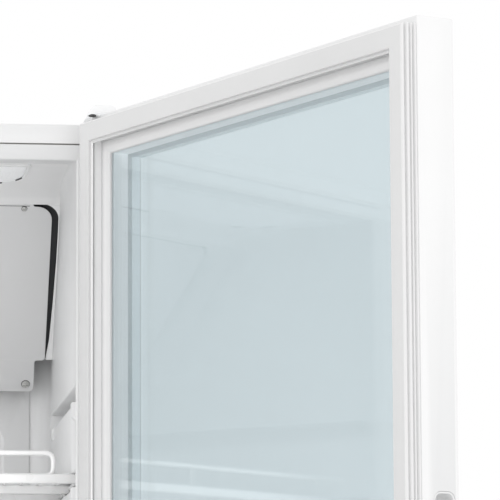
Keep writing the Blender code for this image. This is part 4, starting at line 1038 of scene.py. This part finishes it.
bm = bmesh.new()
sections = []
for x, s in mm((-7.5, 0.6), (-7.1, 0.2), (-6.4, 0), (6.4, 0), (7.1, 0.2), (7.5, 0.6)):
    section = [(-0.0048 + s, 0.0122 - s), (-0.0044 + s, 0.0125 - s), (0.0006, 0.0125 - s),
               (0.0006, -0.0125 + s), (-0.0011 + s, -0.0125 + s), (-0.0015 + s, -0.0122 + s),
               (-0.0012 + s, -0.0060), (-0.0014 + s, 0.0), (-0.0028 + s, 0.0060)]
    sections.append([(SWITCH_AT[0] + x, 0.0030 + y, SWITCH_AT[1] + z) for y, z in section])
loft(bm, sections, True, True)
piece("lamp_switch_key", bm, "white_plastic", ["lamp_switch_rocker"], "lamp_switch")

bm = bmesh.new()
slots = [rounded_rectangle((-0.240, z), (0.130, z + 0.008), 0.0036, 6) for z in REAR_SLOTS]
slots.append(rounded_rectangle((0.1755, 0.0895), (0.2065, 0.1145), 0.002, 4))
sheet = rounded_rectangle((-HALF + 0.0013, 0.0345), (HALF - 0.0013, DECK_Z - 0.0006), 0.002, 4)
plate(bm, [sheet] + slots, "XZ", DEPTH - 0.0022, DEPTH, 0.0005, 2)
piece("rear_grille_sheet", bm, "galvanised_sheet", ["rear_grille"])

bm = bmesh.new()
shroud = mm((0, 30), (0, 0.8), (0.4, 0.4), (3, 0.4), (3.4, 0.8), (3.4, 18))
loft(bm, [upright((0.1765, 0.0905), (0.2055, 0.1135), 0.003, DEPTH - deep, inset, 5)
          for inset, deep in shroud], True, True)
for x, z in ((0.1840, 0.0995), (0.1980, 0.0995), (0.1910, 0.1045)):
    rounded_box(bm, (x - 0.0010, DEPTH - 0.0185, z - 0.0022), (x + 0.0010, DEPTH - 0.0070, z + 0.0022),
                0.0003, 1)
piece("power_inlet_socket", bm, "black_plastic", ["power_inlet"])

stud = [(0, 0.0297), (0.0060, 0.0297)]
for k in range(7):
    stud += [(0.0060, 0.0290 - k * 0.0022), (0.0052, 0.0280 - k * 0.0022)]
pad = mm((15, 12.5), (16.5, 11.2), (18, 7), (19, 5.5), (19, 1.2), (18, 0), (0, 0))
for end, y in (("front", 0.040), ("rear", 0.440)):
    for label, x in (("left", -0.245), ("right", 0.245)):
        bm = bmesh.new()
        lathe(bm, stud + pad, Matrix.Translation((x, y, 0)), 36)
        piece("levelling_foot_%s_%s" % (end, label), bm, "black_plastic", ["foot_%s_%s" % (end, label)])

FLOOR_Z = 0.0328
COMPRESSOR_AT = (-0.130, 0.330)
bm = bmesh.new()
can = mm((0, 150), (20, 149.8), (40, 148), (55, 142), (66, 132), (73.5, 119), (76.5, 108), (76.8, 90),
         (78, 89), (78, 83), (76.8, 82), (76.5, 60), (74, 46), (69, 36), (60, 27), (45, 21.5), (0, 20))
lathe(bm, can, Matrix.Translation((*COMPRESSOR_AT, FLOOR_Z)), 48)
for low, high, radius in (((-85, -68, 0), (-75, 68, 23), 0.0015), ((75, -68, 0), (85, 68, 23), 0.0015),
                          ((-85, -68, 15), (85, 68, 23), 0.0015), ((-25, -85.5, 55), (25, -68, 105), 0.003)):
    corners = [Vector((*COMPRESSOR_AT, FLOOR_Z)) + Vector(corner) for corner in mm(low, high)]
    rounded_box(bm, *corners, radius)
piece("compressor_can", bm, "black_steel", ["compressor"])

bm = bmesh.new()
pipe_z = FLOOR_Z + 0.085
route = [(-0.0560, COMPRESSOR_AT[1], pipe_z), (0.044, COMPRESSOR_AT[1], pipe_z), (0.044, 0.1108, pipe_z)]
tube(bm, rounded_path(route, 0.025, 10), 0.0040, 16)
piece("discharge_tube", bm, "copper", ["discharge_pipe"])

hub = Matrix.Translation((0.105, 0.150, FLOOR_Z + 0.070)) @ TO_FRONT
bm = bmesh.new()
fan(bm, 0.058, 0.014, 0.0038, 5, hub)
piece("condenser_fan_rotor", bm, "black_steel", ["condenser_fan_blade"], "condenser_fan")
bm = bmesh.new()
lathe(bm, mm((0, -50), (22, -50), (25.5, -48), (26, -45), (26, -30), (25, -29), (25, -25), (26, -24),
             (26, -9), (24, -6), (0, -5.5)), hub, 40)
piece("condenser_fan_motor_can", bm, "black_plastic", ["condenser_fan_motor"])

seats = [(x, 0.0015, z) for x in (-0.270, -0.09, 0.09, 0.270) for z in (0.222, HEIGHT - 0.016)]
for side in (-1, 1):
    seats += [(side * 0.274, 0.0015, z) for z in (0.45, 0.72, 0.99)] + [(side * 0.270, 0.0014, 0.120)]
bm = bmesh.new()
for x, inward, z in seats:
    screw_head(bm, Matrix.Translation((x, DEPTH - inward, z)) @ TO_BACK, 0.0036, 0.0014)
piece("back_sheet_screws", bm, "zinc_steel")

# --- stage -----------------------------------------------------------------------------------------
bm = bmesh.new()
bmesh.ops.create_grid(bm, x_segments=2, y_segments=2, size=60.0)
mesh = bpy.data.meshes.new("floor")
bm.to_mesh(mesh)
bm.free()
floor = bpy.data.objects.new("floor", mesh)
floor.location = (0, 0, -0.0002)
mesh.materials.append(surface("pale_floor", (0.88, 0.88, 0.88), 0.7, tone=0.004, tone_scale=1.5,
                              grain=0.00001))
bpy.context.scene.collection.objects.link(floor)

world = bpy.data.worlds.new("studio")
world.use_nodes = True
world.node_tree.nodes["Background"].inputs["Color"].default_value = (1.0, 1.0, 1.0, 1.0)
world.node_tree.nodes["Background"].inputs["Strength"].default_value = 1.0
bpy.context.scene.world = world


def area_light(name, place, turn, size, power, seen=True):
    """A rectangular light; one that isn't seen lights surfaces without showing in them."""
    data = bpy.data.lights.new(name, "AREA")
    data.shape = "RECTANGLE"
    data.size, data.size_y = size
    data.energy = power
    lamp = bpy.data.objects.new(name, data)
    lamp.location = place
    lamp.rotation_euler = turn
    if not seen:
        lamp.visible_camera = lamp.visible_glossy = lamp.visible_transmission = False
    bpy.context.scene.collection.objects.link(lamp)


for name, place, target, size in (("key_right", (2.2, -2.6, 1.9), (0.2, -0.2, 0.8), 1.8),
                                  ("fill_left", (-2.6, -1.6, 1.5), (-0.1, 0.0, 0.8), 1.6)):
    turn = (Vector(target) - Vector(place)).to_track_quat("-Z", "Y").to_euler()
    area_light(name, place, turn, (size, size), 12.0)
for name, place, turn, size, power in (("front_glow", (0.0, -0.012, 0.690), 0, (0.42, 0.80), 1.12),
                                       ("hinge_glow", (0.150, -0.180, 0.750), -50, (0.12, 1.10), 0.08)):
    area_light(name, CABINET @ Vector(place), (math.radians(90), 0, math.radians(turn)), size, power, False)

CAMERA_AT = (-0.12879, -3.33289, 0.65825)
YAW, PITCH, ROLL = 7.36027, 7.83798, -0.29669
lens = bpy.data.cameras.new("camera")
lens.sensor_width = 36.0
lens.lens = 246.655
camera = bpy.data.objects.new("camera", lens)
camera.location = CAMERA_AT
camera.rotation_euler = (Matrix.Rotation(math.radians(-YAW), 3, "Z")
                         @ Matrix.Rotation(math.radians(90 + PITCH), 3, "X")
                         @ Matrix.Rotation(math.radians(ROLL), 3, "Z")).to_euler()
bpy.context.scene.collection.objects.link(camera)
bpy.context.scene.camera = camera
bpy.context.scene.view_settings.view_transform = "Standard"
